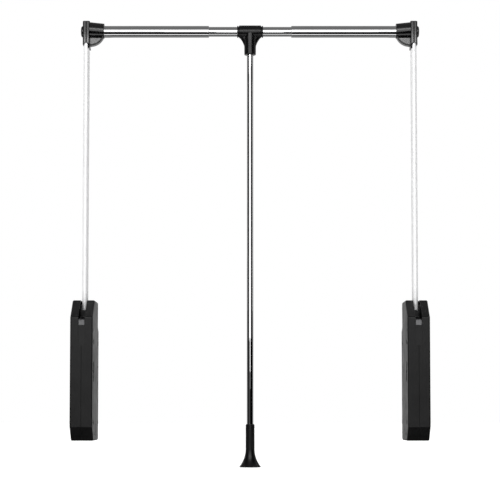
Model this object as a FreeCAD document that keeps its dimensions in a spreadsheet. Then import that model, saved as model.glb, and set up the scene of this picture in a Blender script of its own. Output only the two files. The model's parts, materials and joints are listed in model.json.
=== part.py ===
# A pull-down wardrobe lift: two side housings carry sprung arms, a telescopic clothes rail joins
# the arms, and a pull rod with a handle hangs from the middle of the rail.
# Millimetres. X runs along the rail, Y from the front to the back, Z up. The origin is the centre
# of the screw pattern on the left housing's outer face, which is fixed to the wardrobe's side.
import FreeCAD, Part
import Sketcher
import math
import os
import re

# Driving dimensions, in millimetres and degrees, by the piece that they belong to.
SIZES = {
    # Whole lift, at the middle of the rail's travel
    "overall_width": 715,
    "rail_above_foot": 836,
    "swing_angle": 110,
    # Housing case
    "housing_thick": 45,
    "housing_depth": 130,
    "housing_height": 282,
    "shell_wall": 2.5,
    "top_bevel_deep": 45,
    "top_bevel_tall": 36,
    "foot_bevel_deep": 27,
    "foot_bevel_tall": 28,
    "back_step_deep": 15,
    "back_step_from_top": 50,
    "back_step_run": 9,
    "corner_round": 6,
    "rim_round": 3,
    "seam_chamfer": 0.4,
    "slot_width": 13,
    "slot_behind_arm": 1.8,
    "channel_deep": 1.2,
    "channel_tall": 40,
    "shelf_thick": 2,
    # Relief on the inner face: a lens-shaped dish round a screw, and a groove that winds down from it
    "dish_from_front": 21,
    "dish_tall": 44,
    "dish_round": 26,
    "dish_deep": 0.8,
    "groove_wide": 2,
    "groove_deep": 0.6,
    "groove_lap": 2,
    "groove_bend": 40,
    "groove_tall": 106,
    "groove_upper_run": 24,
    "groove_lower_run": 23,
    "groove_upper_round": 45,
    "groove_lower_round": 51,
    # Wall screw pattern and the posts that it runs through
    "pattern_from_front": 23,
    "pattern_deep": 96,
    "pattern_from_foot": 37,
    "pattern_tall": 160,
    "wall_screw_hole": 2.6,
    "wall_post_radius": 6,
    "wall_screw_well": 5.2,
    "well_wall": 1.8,
    # Screws that join the two halves of a case
    "case_screw_inset": 11,
    "dish_screw_inset": 27,
    "case_screw_radius": 1.75,
    "case_screw_head": 3.4,
    "case_screw_head_tall": 2.6,
    "case_screw_bite": 12,
    "case_post_radius": 4.5,
    "case_screw_seat": 9,
    # Pivot
    "pivot_from_front": 38,
    "pivot_from_top": 52,
    "axle_radius": 4,
    "axle_skin": 1,
    "pivot_post_radius": 10,
    "pivot_post_inner": 14,
    "bush_radius": 6,
    "bush_length": 12,
    "bush_flange_radius": 8,
    "bush_flange_thick": 1,
    "pivot_side_gap": 0.3,
    # Arm and its cranked carrier
    "arm_wide": 11,
    "arm_deep": 25,
    "arm_wall": 1.2,
    "crank_offset": 34,
    "arm_foot_above_pivot": 33,
    "arm_head_above_rail": 14,
    "hub_radius": 9,
    "web_disc_radius": 15,
    "crank_neck_low": 17,
    "crank_heel_low": 18,
    "crank_root_angle": 10,
    "crank_heel_angle": 45,
    "crank_round": 4,
    "tang_tall": 50,
    "arm_pin_radius": 2,
    "arm_pin_low": 15,
    "arm_pin_pitch": 22,
    # Sector gear and rack
    "gear_module": 2,
    "gear_pitch_radius": 18,
    "gear_thick": 7,
    "gear_screw_radius": 1.5,
    "gear_screw_circle": 12.2,
    "gear_screw_angle": 100,
    "gear_screw_bite": 4,
    "tooth_backlash": 0.3,
    "pressure_angle": 20,
    "rack_gap": 0.5,
    "rack_back": 7.5,
    "rack_above_pivot": 10,
    "rack_tail": 4,
    # Crosshead, drawbar, spring and seat
    "crosshead_tall": 12,
    "crosshead_half_wide": 8,
    "crosshead_wall": 4,
    "crosshead_shoulder": 8,
    "crosshead_ear_wall": 3,
    "drawbar_behind_pivot": 35,
    "drawbar_radius": 4,
    "nut_radius": 7.4,
    "nut_tall": 6,
    "nut_spare": 2,
    "spring_mean_radius": 11.5,
    "spring_wire_radius": 1.6,
    "spring_length": 123,
    "washer_radius": 14,
    "washer_thick": 3,
    "seat_drop": 5,
    "seat_thick": 4,
    "seat_half_deep": 16,
    "seat_rib_tall": 4,
    "seat_rib_wide": 6,
    "guide_above_pivot": 45,
    "guide_below_pivot": 14,
    "guide_gap": 0.3,
    "guide_thick": 3,
    # Oil damper
    "damper_behind_pivot": 63,
    "damper_radius": 10,
    "damper_bore": 8,
    "damper_length": 100,
    "damper_foot": 14.2,
    "damper_tail_radius": 4,
    "damper_gland": 8,
    "damper_rod_radius": 3,
    "piston_tall": 10,
    "piston_lift": 5,
    "saddle_thick": 3,
    "saddle_reach": 17,
    "saddle_inset": 10,
    # Rubber bumper on the slot's sill
    "bumper_tall": 8.8,
    "bumper_deep": 6,
    "bumper_side_gap": 0.9,
    "rest_gap": 0.3,
    # Corner connector
    "socket_wall": 1.8,
    "socket_above_rail": 20,
    "socket_below_rail": 25,
    "outer_lip": 4,
    "inner_lip": 11,
    "arch_rise": 2.75,
    "socket_round": 1.5,
    "sleeve_reach": 36,
    "sleeve_root_radius": 17,
    "sleeve_root_lift": 3.4,
    "sleeve_mouth_radius": 15.2,
    "sleeve_mouth_lift": 1.4,
    "web_start": 11,
    "web_radius": 30,
    "web_half_thick": 3,
    "web_rim_half": 8,
    "web_rim_thick": 1.6,
    "joint_screw_radius": 2.5,
    "joint_screw_head": 4.5,
    "joint_screw_head_tall": 2.5,
    "cap_radius": 11.6,
    "cap_proud": 4,
    "cap_edge": 1.6,
    "cap_round": 4,
    # Telescopic rail
    "outer_tube_radius": 12,
    "outer_tube_wall": 1,
    "outer_tube_mouth": 84.5,
    "inner_tube_radius": 10,
    "inner_tube_wall": 1.2,
    "inner_tube_length": 420,
    "plug_length": 22,
    "plug_collar": 6,
    "plug_spigot": 14,
    "mouth_bush_length": 20,
    # Tee, pull rod and handle
    "tee_half": 22.5,
    "tee_collar_half": 26.5,
    "tee_radius": 13,
    "tee_collar_radius": 12.6,
    "tee_lip_radius": 11.4,
    "tee_drop": 48,
    "tee_neck_head": 12.5,
    "tee_neck_foot": 11.8,
    "tee_mouth_bevel": 0.8,
    "tee_web_thick": 12,
    "tee_web_round": 3,
    "tee_web_shoulder": 11.5,
    "tee_web_drop": 36,
    "tee_web_foot_half": 10.4,
    "rod_above_tee_mouth": 32,
    "rod_radius": 6.5,
    "rod_wall": 1.2,
    "tee_pin_radius": 1.5,
    "tee_pin_drop": 38,
    "tee_pin_inset": 0.6,
    "handle_top_above_foot": 33,
    "handle_length": 87,
    "handle_grip_radius": 9,
    "handle_mouth_radius": 21.8,
    "handle_wall": 2.4,
    "handle_shoulder": 2.2,
    "handle_flare_tall": 37,
    "handle_lip": 1,
    "rod_into_handle": 60,
    "handle_boss_radius": 8.2,
    "rod_plug_length": 18,
    # Fits
    "running_fit": 0.05,
    "seat_fit": 0.02,
    "overrun": 5,
}

doc = FreeCAD.newDocument("WardrobeLift")
sheet = doc.addObject("Spreadsheet::Sheet", "Sizes")
for row, (alias, size) in enumerate(SIZES.items(), start=1):
    sheet.set(f"A{row}", alias)
    sheet.set(f"B{row}", str(size))
    sheet.setAlias(f"B{row}", alias)
doc.recompute()
probe = doc.addObject("App::FeaturePython", "probe")


def full(text):
    """The text of a sum of sizes, with each size's name made a reference to the sheet."""
    def reference(word):
        return f"Sizes.{word[0]}" if word[0] in SIZES else word[0]
    return re.sub(r"[a-z][a-z_]+", reference, text)


def amount(text):
    """What a sum of sizes comes to now."""
    return float(probe.evalExpression(full(text)))


def bind(item, **texts):
    """Ties an object's properties to sums of sizes."""
    for prop, text in texts.items():
        item.setExpression(prop.replace("__", "."), full(text))


def place(item, x="0", y="0", z="0"):
    """Ties an object's place to sums of sizes."""
    bind(item, Placement__Base__x=x, Placement__Base__y=y, Placement__Base__z=z)
    return item


def new_body(label, x="0", y="0", z="0"):
    """An empty body with its label and place."""
    body = doc.addObject("PartDesign::Body", label)
    body.Label = label
    return place(body, x, y, z)


def sketch(body, plane, offset="0"):
    """An empty sketch on one of the body's own planes, or beside it."""
    item = body.newObject("Sketcher::SketchObject", f"{body.Name}_sketch")
    item.AttachmentSupport = (next(f for f in body.Origin.OriginFeatures if f.Role == plane), "")
    item.MapMode = "FlatFace"
    if offset != "0":
        bind(item, AttachmentOffset__Base__z=offset)
    return item


def pin_point(item, index, end, across, up):
    """Ties one end of a sketch's edge to its two distances from the sketch's origin."""
    for kind, axis, text in (("DistanceX", -2, across), ("DistanceY", -1, up)):
        if text is None:
            continue
        if amount(text) == 0:
            item.addConstraint(Sketcher.Constraint("PointOnObject", index, end, axis))
        else:
            number = item.addConstraint(Sketcher.Constraint(kind, -1, 1, index, end, amount(text)))
            item.setExpression(f"Constraints[{number}]", full(text))


def arc_radius(half_chord, rise):
    """Radius of the arc that rises so far over half its chord."""
    return f"((({half_chord})^2 + ({rise})^2) / (2 * ({rise})))"


def outline(item, points):
    """A closed outline through points given as sums of sizes.

    The edge after a point is straight, or, where the point has a radius as its third value, an arc.
    The arc's centre lies on the left of the way along it, or on the right after a minus.
    """
    first = item.GeometryCount
    spots = [FreeCAD.Vector(amount(point[0]), amount(point[1]), 0) for point in points]
    ends = []
    for point, start, stop in zip(points, spots, spots[1:] + spots[:1]):
        if len(point) == 2:
            item.addGeometry(Part.LineSegment(start, stop), False)
            ends.append((1, 2))
            continue
        on_left = not point[2].startswith("-")
        size = point[2].lstrip("-")
        radius = amount(size)
        along = stop - start
        left = FreeCAD.Vector(-along.y, along.x, 0).normalize()
        reach = math.sqrt(radius ** 2 - (along.Length / 2) ** 2)
        centre = (start + stop) / 2 + left * (reach if on_left else -reach)
        turn = (start, stop) if on_left else (stop, start)
        angles = [math.atan2(spot.y - centre.y, spot.x - centre.x) for spot in turn]
        circle_line = Part.Circle(centre, FreeCAD.Vector(0, 0, 1), radius)
        index = item.addGeometry(Part.ArcOfCircle(circle_line, *angles), False)
        number = item.addConstraint(Sketcher.Constraint("Radius", index, radius))
        item.setExpression(f"Constraints[{number}]", full(size))
        ends.append((1, 2) if on_left else (2, 1))
    for index, point in enumerate(points):
        following = (index + 1) % len(points)
        item.addConstraint(Sketcher.Constraint(
            "Coincident", first + index, ends[index][1], first + following, ends[following][0]))
        pin_point(item, first + index, ends[index][0], point[0], point[1])
    return item


def rectangle(item, low_across, low_up, high_across, high_up):
    """A closed rectangle between two corners."""
    return outline(item, [
        (low_across, low_up), (high_across, low_up), (high_across, high_up), (low_across, high_up)])


def circle(item, radius, across="0", up="0"):
    """A circle of a radius about a point."""
    middle = FreeCAD.Vector(amount(across), amount(up), 0)
    index = item.addGeometry(Part.Circle(middle, FreeCAD.Vector(0, 0, 1), amount(radius)), False)
    number = item.addConstraint(Sketcher.Constraint("Radius", index, amount(radius)))
    item.setExpression(f"Constraints[{number}]", full(radius))
    pin_point(item, index, 3, across, up)
    return item


def oval(item, half_wide, half_deep, up="0"):
    """A flat oval, two straight sides joined by half circles, long side along the sketch's second axis."""
    wide, deep, middle = amount(half_wide), amount(half_deep), amount(up)
    straight = deep - wide
    corners = [(wide, -straight), (wide, straight), (-wide, straight), (-wide, -straight)]
    spots = [FreeCAD.Vector(a, middle + b, 0) for a, b in corners]
    normal = FreeCAD.Vector(0, 0, 1)
    first = item.addGeometry(Part.LineSegment(spots[0], spots[1]), False)
    top = Part.Circle(FreeCAD.Vector(0, middle + straight, 0), normal, wide)
    item.addGeometry(Part.ArcOfCircle(top, 0, math.pi), False)
    item.addGeometry(Part.LineSegment(spots[2], spots[3]), False)
    foot = Part.Circle(FreeCAD.Vector(0, middle - straight, 0), normal, wide)
    item.addGeometry(Part.ArcOfCircle(foot, math.pi, 2 * math.pi), False)
    for index in range(4):
        item.addConstraint(Sketcher.Constraint("Coincident", first + index, 2, first + (index + 1) % 4, 1))
    low = f"{up} - ({half_deep}) + ({half_wide})"
    high = f"{up} + ({half_deep}) - ({half_wide})"
    pin_point(item, first, 1, half_wide, low)
    pin_point(item, first, 2, half_wide, high)
    pin_point(item, first + 2, 1, f"-({half_wide})", high)
    pin_point(item, first + 2, 2, f"-({half_wide})", low)
    pin_point(item, first + 1, 3, None, high)
    pin_point(item, first + 3, 3, None, low)
    return item


def pad(body, profile, length, forward=True):
    """Adds the profile's prism along the sketch's normal, or against it."""
    item = body.newObject("PartDesign::Pad", f"{body.Name}_pad")
    item.Profile = profile
    item.Reversed = not forward
    bind(item, Length=length)
    doc.recompute()
    return item


def pad_both(body, profile, length):
    """Adds the profile's prism, half of it on each side of the sketch."""
    item = body.newObject("PartDesign::Pad", f"{body.Name}_pad")
    item.Profile = profile
    item.SideType = "Symmetric"
    bind(item, Length=length)
    doc.recompute()
    return item


def pocket(body, profile, length=None, forward=True):
    """Cuts the profile's prism along the sketch's normal or against it, or right through both ways."""
    before = body.Shape.Volume
    item = body.newObject("PartDesign::Pocket", f"{body.Name}_pocket")
    item.Profile = profile
    if length is None:
        item.Type = "ThroughAll"
        item.SideType = "Symmetric"
    else:
        item.Reversed = forward
        bind(item, Length=length)
    doc.recompute()
    if not body.Shape.Volume < before:
        raise RuntimeError(f"{item.Name} cuts nothing")
    return item


def picked_edges(body, wanted):
    """The body's last feature and the names of those of its edges that the test picks."""
    base = body.Tip
    return base, [f"Edge{n}" for n, edge in enumerate(base.Shape.Edges, start=1) if wanted(edge)]


def fillet(body, radius, wanted):
    """Rounds those edges of the body that the test picks."""
    base = picked_edges(body, wanted)
    item = body.newObject("PartDesign::Fillet", f"{body.Name}_round")
    item.Base = base
    bind(item, Radius=radius)
    doc.recompute()
    return item


def chamfer(body, size, wanted):
    """Bevels those edges of the body that the test picks."""
    base = picked_edges(body, wanted)
    item = body.newObject("PartDesign::Chamfer", f"{body.Name}_bevel")
    item.Base = base
    bind(item, Size=size)
    doc.recompute()
    return item


def lies_along(edge, axis):
    """Whether an edge is straight and runs along an axis: 0 for X, 1 for Y, 2 for Z."""
    spans = [edge.BoundBox.XLength, edge.BoundBox.YLength, edge.BoundBox.ZLength]
    return max(s for n, s in enumerate(spans) if n != axis) < 1e-6 < spans[axis]


def turned(label, along, points, x="0", y="0", z="0"):
    """A turned piece: points of its half section, each as distance along the axis and radius.

    An arc's side is as seen in the sketch, which has the radius as its second axis for a piece along
    X, and as its first for a piece along Y or Z.
    """
    body = new_body(label, x, y, z)
    if along == "x":
        profile = outline(sketch(body, "XZ_Plane"), points)
    else:
        plane = "XZ_Plane" if along == "z" else "XY_Plane"
        profile = outline(sketch(body, plane), [(radius, reach, *arc) for reach, radius, *arc in points])
    item = body.newObject("PartDesign::Revolution", f"{label}_turning")
    item.Profile = profile
    item.ReferenceAxis = (profile, ["H_Axis" if along == "x" else "V_Axis"])
    item.Angle = 360
    doc.recompute()
    return body


def group(label, pieces):
    """Several like pieces kept as separate solids in one node."""
    item = doc.addObject("Part::Compound", label)
    item.Label = label
    item.Links = pieces
    return item


def joined(name, tool, base, other):
    """A boolean of two objects: Part::Cut, Part::Fuse or Part::Common."""
    item = doc.addObject(tool, name)
    item.Base = base
    item.Tool = other
    return item


# Places that follow from the sizes
SEAM = "(housing_thick / 2)"
FRONT = "(-pattern_from_front - pattern_deep / 2)"
BACK = f"({FRONT} + housing_depth)"
FOOT = "(-pattern_from_foot - pattern_tall / 2)"
TOP = f"({FOOT} + housing_height)"
PIVOT_Y = f"({FRONT} + pivot_from_front)"
PIVOT_Z = f"({TOP} - pivot_from_top)"
ARM_Y = f"({PIVOT_Y} + crank_offset)"
ARM_FRONT = f"({ARM_Y} - arm_deep / 2)"
ARM_BACK = f"({ARM_Y} + arm_deep / 2)"
ARM_FOOT = f"({PIVOT_Z} + arm_foot_above_pivot)"
RAIL_Z = f"({FOOT} + rail_above_foot)"
MIDDLE = "(overall_width / 2)"
INSIDE = "(housing_thick / 2 - shell_wall)"
STEP_TOP = f"({TOP} - back_step_from_top)"


def arm_underside(y):
    """Height of the lowered arm's underside above a point y: a straight line turned about the pivot."""
    reach = "(crank_offset - arm_deep / 2)"
    start_y = f"({PIVOT_Y} + {reach} * cos(swing_angle))"
    start_z = f"({PIVOT_Z} + {reach} * sin(swing_angle))"
    return f"({start_z} + ({start_y} - ({y})) * cos(swing_angle) / sin(swing_angle))"


SILL = f"({arm_underside(FRONT)} - rest_gap - bumper_tall)"
BUMPER_BACK = f"({FRONT} + bumper_deep)"

# The case's outline from the side: bevelled front, stepped back
CASE_OUTLINE = [
    (FRONT, f"{FOOT} + foot_bevel_tall"),
    (f"{FRONT} + foot_bevel_deep", FOOT),
    (BACK, FOOT),
    (BACK, f"{STEP_TOP} - back_step_run"),
    (f"{BACK} - back_step_deep", STEP_TOP),
    (f"{BACK} - back_step_deep", TOP),
    (f"{FRONT} + top_bevel_deep", TOP),
    (FRONT, f"{TOP} - top_bevel_tall"),
]

# Screws that join the halves: down the front, along the foot and up the back
CASE_SCREW_HEIGHT_SHARES = {"front_low": 0.488, "back_low": 0.29, "back_high": 0.53}
DISH_Z = f"({FOOT} + {CASE_SCREW_HEIGHT_SHARES['front_low']} * housing_height)"
CASE_SCREWS = [
    (f"{FRONT} + case_screw_inset", f"{SILL} - case_screw_inset + shelf_thick"),
    (f"{FRONT} + dish_screw_inset", DISH_Z),
    (f"{PIVOT_Y} + case_post_radius", f"{FOOT} + case_screw_inset + shell_wall"),
    (f"{BACK} - case_screw_inset", f"{FOOT} + {CASE_SCREW_HEIGHT_SHARES['back_low']} * housing_height"),
    (f"{BACK} - case_screw_inset", f"{FOOT} + {CASE_SCREW_HEIGHT_SHARES['back_high']} * housing_height"),
    (f"{BACK} - back_step_deep - case_screw_inset - shell_wall", f"{TOP} - case_screw_inset - shell_wall"),
]
WALL_SCREWS = [(f"{a} * pattern_deep / 2", f"{b} * pattern_tall / 2") for a in (-1, 1) for b in (-1, 1)]

# Mechanism places, at rest. A tooth's root lies as far below the pitch line as this share of the module
ROOT_SHARE = 1.25
SPARE_GAPS = 3
GEAR_X = "(-arm_wide / 2 - gear_thick / 2)"
PITCH_Y = f"({PIVOT_Y} + gear_pitch_radius)"
RACK_BACK_Y = f"({PITCH_Y} + {ROOT_SHARE} * gear_module + rack_back)"
TOOTH_PITCH = f"({math.pi} * gear_module)"
RACK_TOP = f"({PIVOT_Z} + rack_above_pivot)"
RACK_TRAVEL = f"(gear_pitch_radius * swing_angle * {math.pi} / 180)"
TOOTH_GAPS = math.ceil(amount(f"{RACK_TRAVEL} / {TOOTH_PITCH}")) + SPARE_GAPS
TOP_GAP = f"({PIVOT_Z} + {TOOTH_PITCH})"
RACK_FOOT = f"({TOP_GAP} + {TOOTH_PITCH} / 2 - {TOOTH_GAPS} * {TOOTH_PITCH} - rack_tail)"
DRAWBAR_Y = f"({PIVOT_Y} + drawbar_behind_pivot)"
DAMPER_Y = f"({PIVOT_Y} + damper_behind_pivot)"
SEAT_TOP = f"({RACK_FOOT} - crosshead_tall - seat_drop)"
SEAT_FOOT = f"({SEAT_TOP} - seat_thick)"
SPRING_FOOT = f"({SEAT_FOOT} - spring_length)"
DAMPER_FOOT = f"({FOOT} + shell_wall + damper_foot)"
DAMPER_TOP = f"({DAMPER_FOOT} + damper_length)"


def case_shell(label, side):
    """A half case as moulded: rounded block, hollow and open at the seam, its seam's edge bevelled."""
    body = new_body(label, x=SEAM)
    pad(body, outline(sketch(body, "YZ_Plane"), CASE_OUTLINE), "housing_thick / 2", side > 0)
    block = fillet(body, "corner_round", lambda edge: lies_along(edge, 0))
    number, open_face = next(
        (n, face) for n, face in enumerate(block.Shape.Faces, start=1)
        if face.BoundBox.XLength < 1e-6 and abs(face.BoundBox.XMin) < 1e-6)
    rim = open_face.OuterWire.copy()
    shell = body.newObject("PartDesign::Thickness", f"{label}_shell")
    shell.Base = (block, [f"Face{number}"])
    shell.Reversed = True
    bind(shell, Value="shell_wall")
    doc.recompute()
    outer = side * amount("housing_thick / 2")
    fillet(body, "rim_round", lambda edge: abs(edge.BoundBox.Center.x - outer) < 1e-6)
    chamfer(body, "seam_chamfer", lambda edge: (
        max(abs(edge.BoundBox.XMin), abs(edge.BoundBox.XMax)) < 1e-6 and edge.distToShape(rim)[0] < 1e-6))
    return body


def case_ribs(body, side):
    """The shelf under the bumper, the ribs over the spring's seat, and the damper's two saddles."""
    inwards = side < 0
    floor = f"{side} * {INSIDE}"
    shelf_back = f"{BUMPER_BACK} + shelf_thick"
    shelf = rectangle(sketch(body, "YZ_Plane"), f"{FRONT} + shell_wall / 2", f"{SILL} - shelf_thick",
                      shelf_back, SILL)
    pad(body, shelf, INSIDE, not inwards)
    lip = rectangle(sketch(body, "YZ_Plane", floor), BUMPER_BACK, SILL,
                    shelf_back, f"{SILL} + bumper_tall / 2")
    pad(body, lip, INSIDE, inwards)
    rib = rectangle(sketch(body, "YZ_Plane", floor), f"{DRAWBAR_Y} - seat_half_deep", SEAT_TOP,
                    f"{DRAWBAR_Y} + seat_half_deep", f"{SEAT_TOP} + seat_rib_tall")
    pad(body, rib, "seat_rib_wide", inwards)
    half_deep = "(damper_radius + saddle_thick)"
    for height in (f"{DAMPER_FOOT} + saddle_inset", f"{DAMPER_TOP} - saddle_inset - saddle_thick"):
        saddle = rectangle(sketch(body, "XY_Plane", height), floor, f"{DAMPER_Y} - {half_deep}",
                           f"{side} * ({INSIDE} - saddle_reach)", f"{DAMPER_Y} + {half_deep}")
        pad(body, saddle, "saddle_thick")
        clasp = circle(sketch(body, "XY_Plane", height), "damper_radius + running_fit", "0", DAMPER_Y)
        pocket(body, clasp, "saddle_thick", True)


def screw_posts(body, side):
    """Posts for the case screws, bored in the outer half and counterbored in the inner one, and posts
    for the wall screws, a plain hole outside and a driver's well through the inner half."""
    inwards = side < 0
    floor = f"{side} * {INSIDE}"
    through = "housing_thick / 2 + overrun"
    for y, z in CASE_SCREWS:
        pad(body, circle(sketch(body, "YZ_Plane", floor), "case_post_radius", y, z), INSIDE, inwards)
        if inwards:
            bore = circle(sketch(body, "YZ_Plane"), "case_screw_radius + seat_fit", y, z)
            pocket(body, bore, "case_screw_bite + case_screw_radius", False)
        else:
            bore = circle(sketch(body, "YZ_Plane"), "case_screw_radius + running_fit", y, z)
            pocket(body, bore, through, True)
            seat = sketch(body, "YZ_Plane", "case_screw_seat")
            pocket(body, circle(seat, "case_screw_head + running_fit", y, z), through, True)
    for y, z in WALL_SCREWS:
        post = "wall_post_radius" if inwards else "wall_screw_well + well_wall"
        pad(body, circle(sketch(body, "YZ_Plane", floor), post, y, z), INSIDE, inwards)
        hole = "wall_screw_hole" if inwards else "wall_screw_well"
        pocket(body, circle(sketch(body, "YZ_Plane"), hole, y, z), through, not inwards)


def face_relief(body):
    """The lens-shaped dish round the lower front screw and the groove that winds down from its tip."""
    middle = f"({FRONT} + dish_from_front)"
    dish_foot = f"({DISH_Z} - dish_tall / 2)"
    face = "housing_thick / 2"
    dish = outline(sketch(body, "YZ_Plane", face), [
        (middle, dish_foot, "dish_round"),
        (middle, f"{DISH_Z} + dish_tall / 2", "dish_round"),
    ])
    pocket(body, dish, "dish_deep", False)
    start = f"({middle} - groove_wide / 2)"
    bend = f"({start} + groove_upper_run)"
    tail = f"({bend} + groove_lower_run)"
    groove = outline(sketch(body, "YZ_Plane", face), [
        (start, f"{dish_foot} + groove_lap", "groove_upper_round"),
        (bend, f"{dish_foot} - groove_bend", "-groove_lower_round"),
        (tail, f"{dish_foot} - groove_tall"),
        (f"{tail} + groove_wide", f"{dish_foot} - groove_tall", "groove_lower_round"),
        (f"{bend} + groove_wide", f"{dish_foot} - groove_bend", "-groove_upper_round"),
        (f"{start} + groove_wide", f"{dish_foot} + groove_lap"),
    ])
    pocket(body, groove, "groove_deep", False)


def half_case(label, side):
    """One half of a case, with all that is moulded in it. Side is -1 outside and 1 inside."""
    inwards = side < 0
    body = case_shell(label, side)

    # Pivot post, bored for the axle but closed outside
    post = circle(sketch(body, "YZ_Plane", f"{side} * {INSIDE}"), "pivot_post_radius", PIVOT_Y, PIVOT_Z)
    pad(body, post, f"{INSIDE} - pivot_post_inner", inwards)
    bore = circle(sketch(body, "YZ_Plane"), "axle_radius + seat_fit", PIVOT_Y, PIVOT_Z)
    pocket(body, bore, "housing_thick / 2 - axle_skin", not inwards)

    case_ribs(body, side)
    screw_posts(body, side)

    # Slot that the arm swings through, and the shallow channel under its sill
    slot = rectangle(sketch(body, "YZ_Plane"), f"{FRONT} - overrun", SILL,
                     f"{ARM_BACK} + slot_behind_arm", f"{TOP} + overrun")
    pocket(body, slot, "slot_width / 2", not inwards)
    channel = rectangle(sketch(body, "YZ_Plane"), f"{FRONT} - overrun", f"{SILL} - channel_tall",
                        f"{FRONT} + channel_deep", f"{SILL} + overrun")
    pocket(body, channel, "slot_width / 2", not inwards)
    if inwards:
        rack_guide(body)
    else:
        face_relief(body)
    return body


def rack_guide(body):
    """An angle of two ribs in the outer half that the rack's back and outer side slide along."""
    outside = f"-{INSIDE}"
    side_face = f"{GEAR_X} - gear_thick / 2 + rack_gap - guide_gap"
    back_face = f"{RACK_BACK_Y} + guide_gap"
    angle = outline(sketch(body, "XY_Plane", f"{PIVOT_Z} - guide_below_pivot"), [
        (outside, f"{RACK_BACK_Y} - rack_back"),
        (side_face, f"{RACK_BACK_Y} - rack_back"),
        (side_face, back_face),
        ("-arm_wide / 2 - rack_gap", back_face),
        ("-arm_wide / 2 - rack_gap", f"{back_face} + guide_thick"),
        (outside, f"{back_face} + guide_thick"),
    ])
    pad(body, angle, "guide_below_pivot + guide_above_pivot")


# Screws through the gear into the carrier's web, and pins through the arm's tube into its tang
GEAR_SCREW_TURNS = (0, 180)
GEAR_SCREWS = [(f"{PIVOT_Y} + gear_screw_circle * cos(gear_screw_angle + {turn})",
                f"{PIVOT_Z} + gear_screw_circle * sin(gear_screw_angle + {turn})")
               for turn in GEAR_SCREW_TURNS]
ARM_PINS = [f"{ARM_FOOT} + arm_pin_low", f"{ARM_FOOT} + arm_pin_low + arm_pin_pitch"]


def arm_carrier(label):
    """The cranked casting between the pivot and the arm: hub, web, and a tang inside the tube."""
    body = new_body(label, x=SEAM)
    disc = circle(sketch(body, "YZ_Plane"), "web_disc_radius", PIVOT_Y, PIVOT_Z)
    pad_both(body, disc, "arm_wide")
    crank = outline(sketch(body, "YZ_Plane"), [
        (PIVOT_Y, f"{PIVOT_Z} + web_disc_radius * cos(crank_root_angle)"),
        (ARM_FRONT, f"{PIVOT_Z} + crank_neck_low"),
        (ARM_FRONT, ARM_FOOT),
        (ARM_BACK, ARM_FOOT),
        (ARM_BACK, f"{PIVOT_Z} + crank_heel_low"),
        (f"{PIVOT_Y} + web_disc_radius * cos(crank_heel_angle)",
         f"{PIVOT_Z} - web_disc_radius * sin(crank_heel_angle)"),
        (PIVOT_Y, PIVOT_Z),
    ])
    pad_both(body, crank, "arm_wide")
    corners = (amount(ARM_FRONT), amount(ARM_BACK))
    highest = amount(f"{ARM_FOOT} - crank_round")
    fillet(body, "crank_round", lambda edge: (
        lies_along(edge, 0) and edge.BoundBox.ZMin < highest
        and min(abs(edge.BoundBox.YMin - corner) for corner in corners) < 1e-6))
    tang = oval(sketch(body, "XY_Plane", ARM_FOOT), "arm_wide / 2 - arm_wall - running_fit",
                "arm_deep / 2 - arm_wall - running_fit", ARM_Y)
    pad(body, tang, "tang_tall")
    hub = circle(sketch(body, "YZ_Plane"), "hub_radius", PIVOT_Y, PIVOT_Z)
    pad_both(body, hub, "2 * (pivot_post_inner - pivot_side_gap - bush_flange_thick)")
    pocket(body, circle(sketch(body, "YZ_Plane"), "bush_radius + seat_fit", PIVOT_Y, PIVOT_Z))
    for y, z in GEAR_SCREWS:
        bore = circle(sketch(body, "YZ_Plane", "-arm_wide / 2"), "gear_screw_radius + seat_fit", y, z)
        pocket(body, bore, "gear_screw_bite + gear_screw_radius", True)
    for z in ARM_PINS:
        pocket(body, circle(sketch(body, "YZ_Plane"), "arm_pin_radius + seat_fit", ARM_Y, z))
    return body


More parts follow.
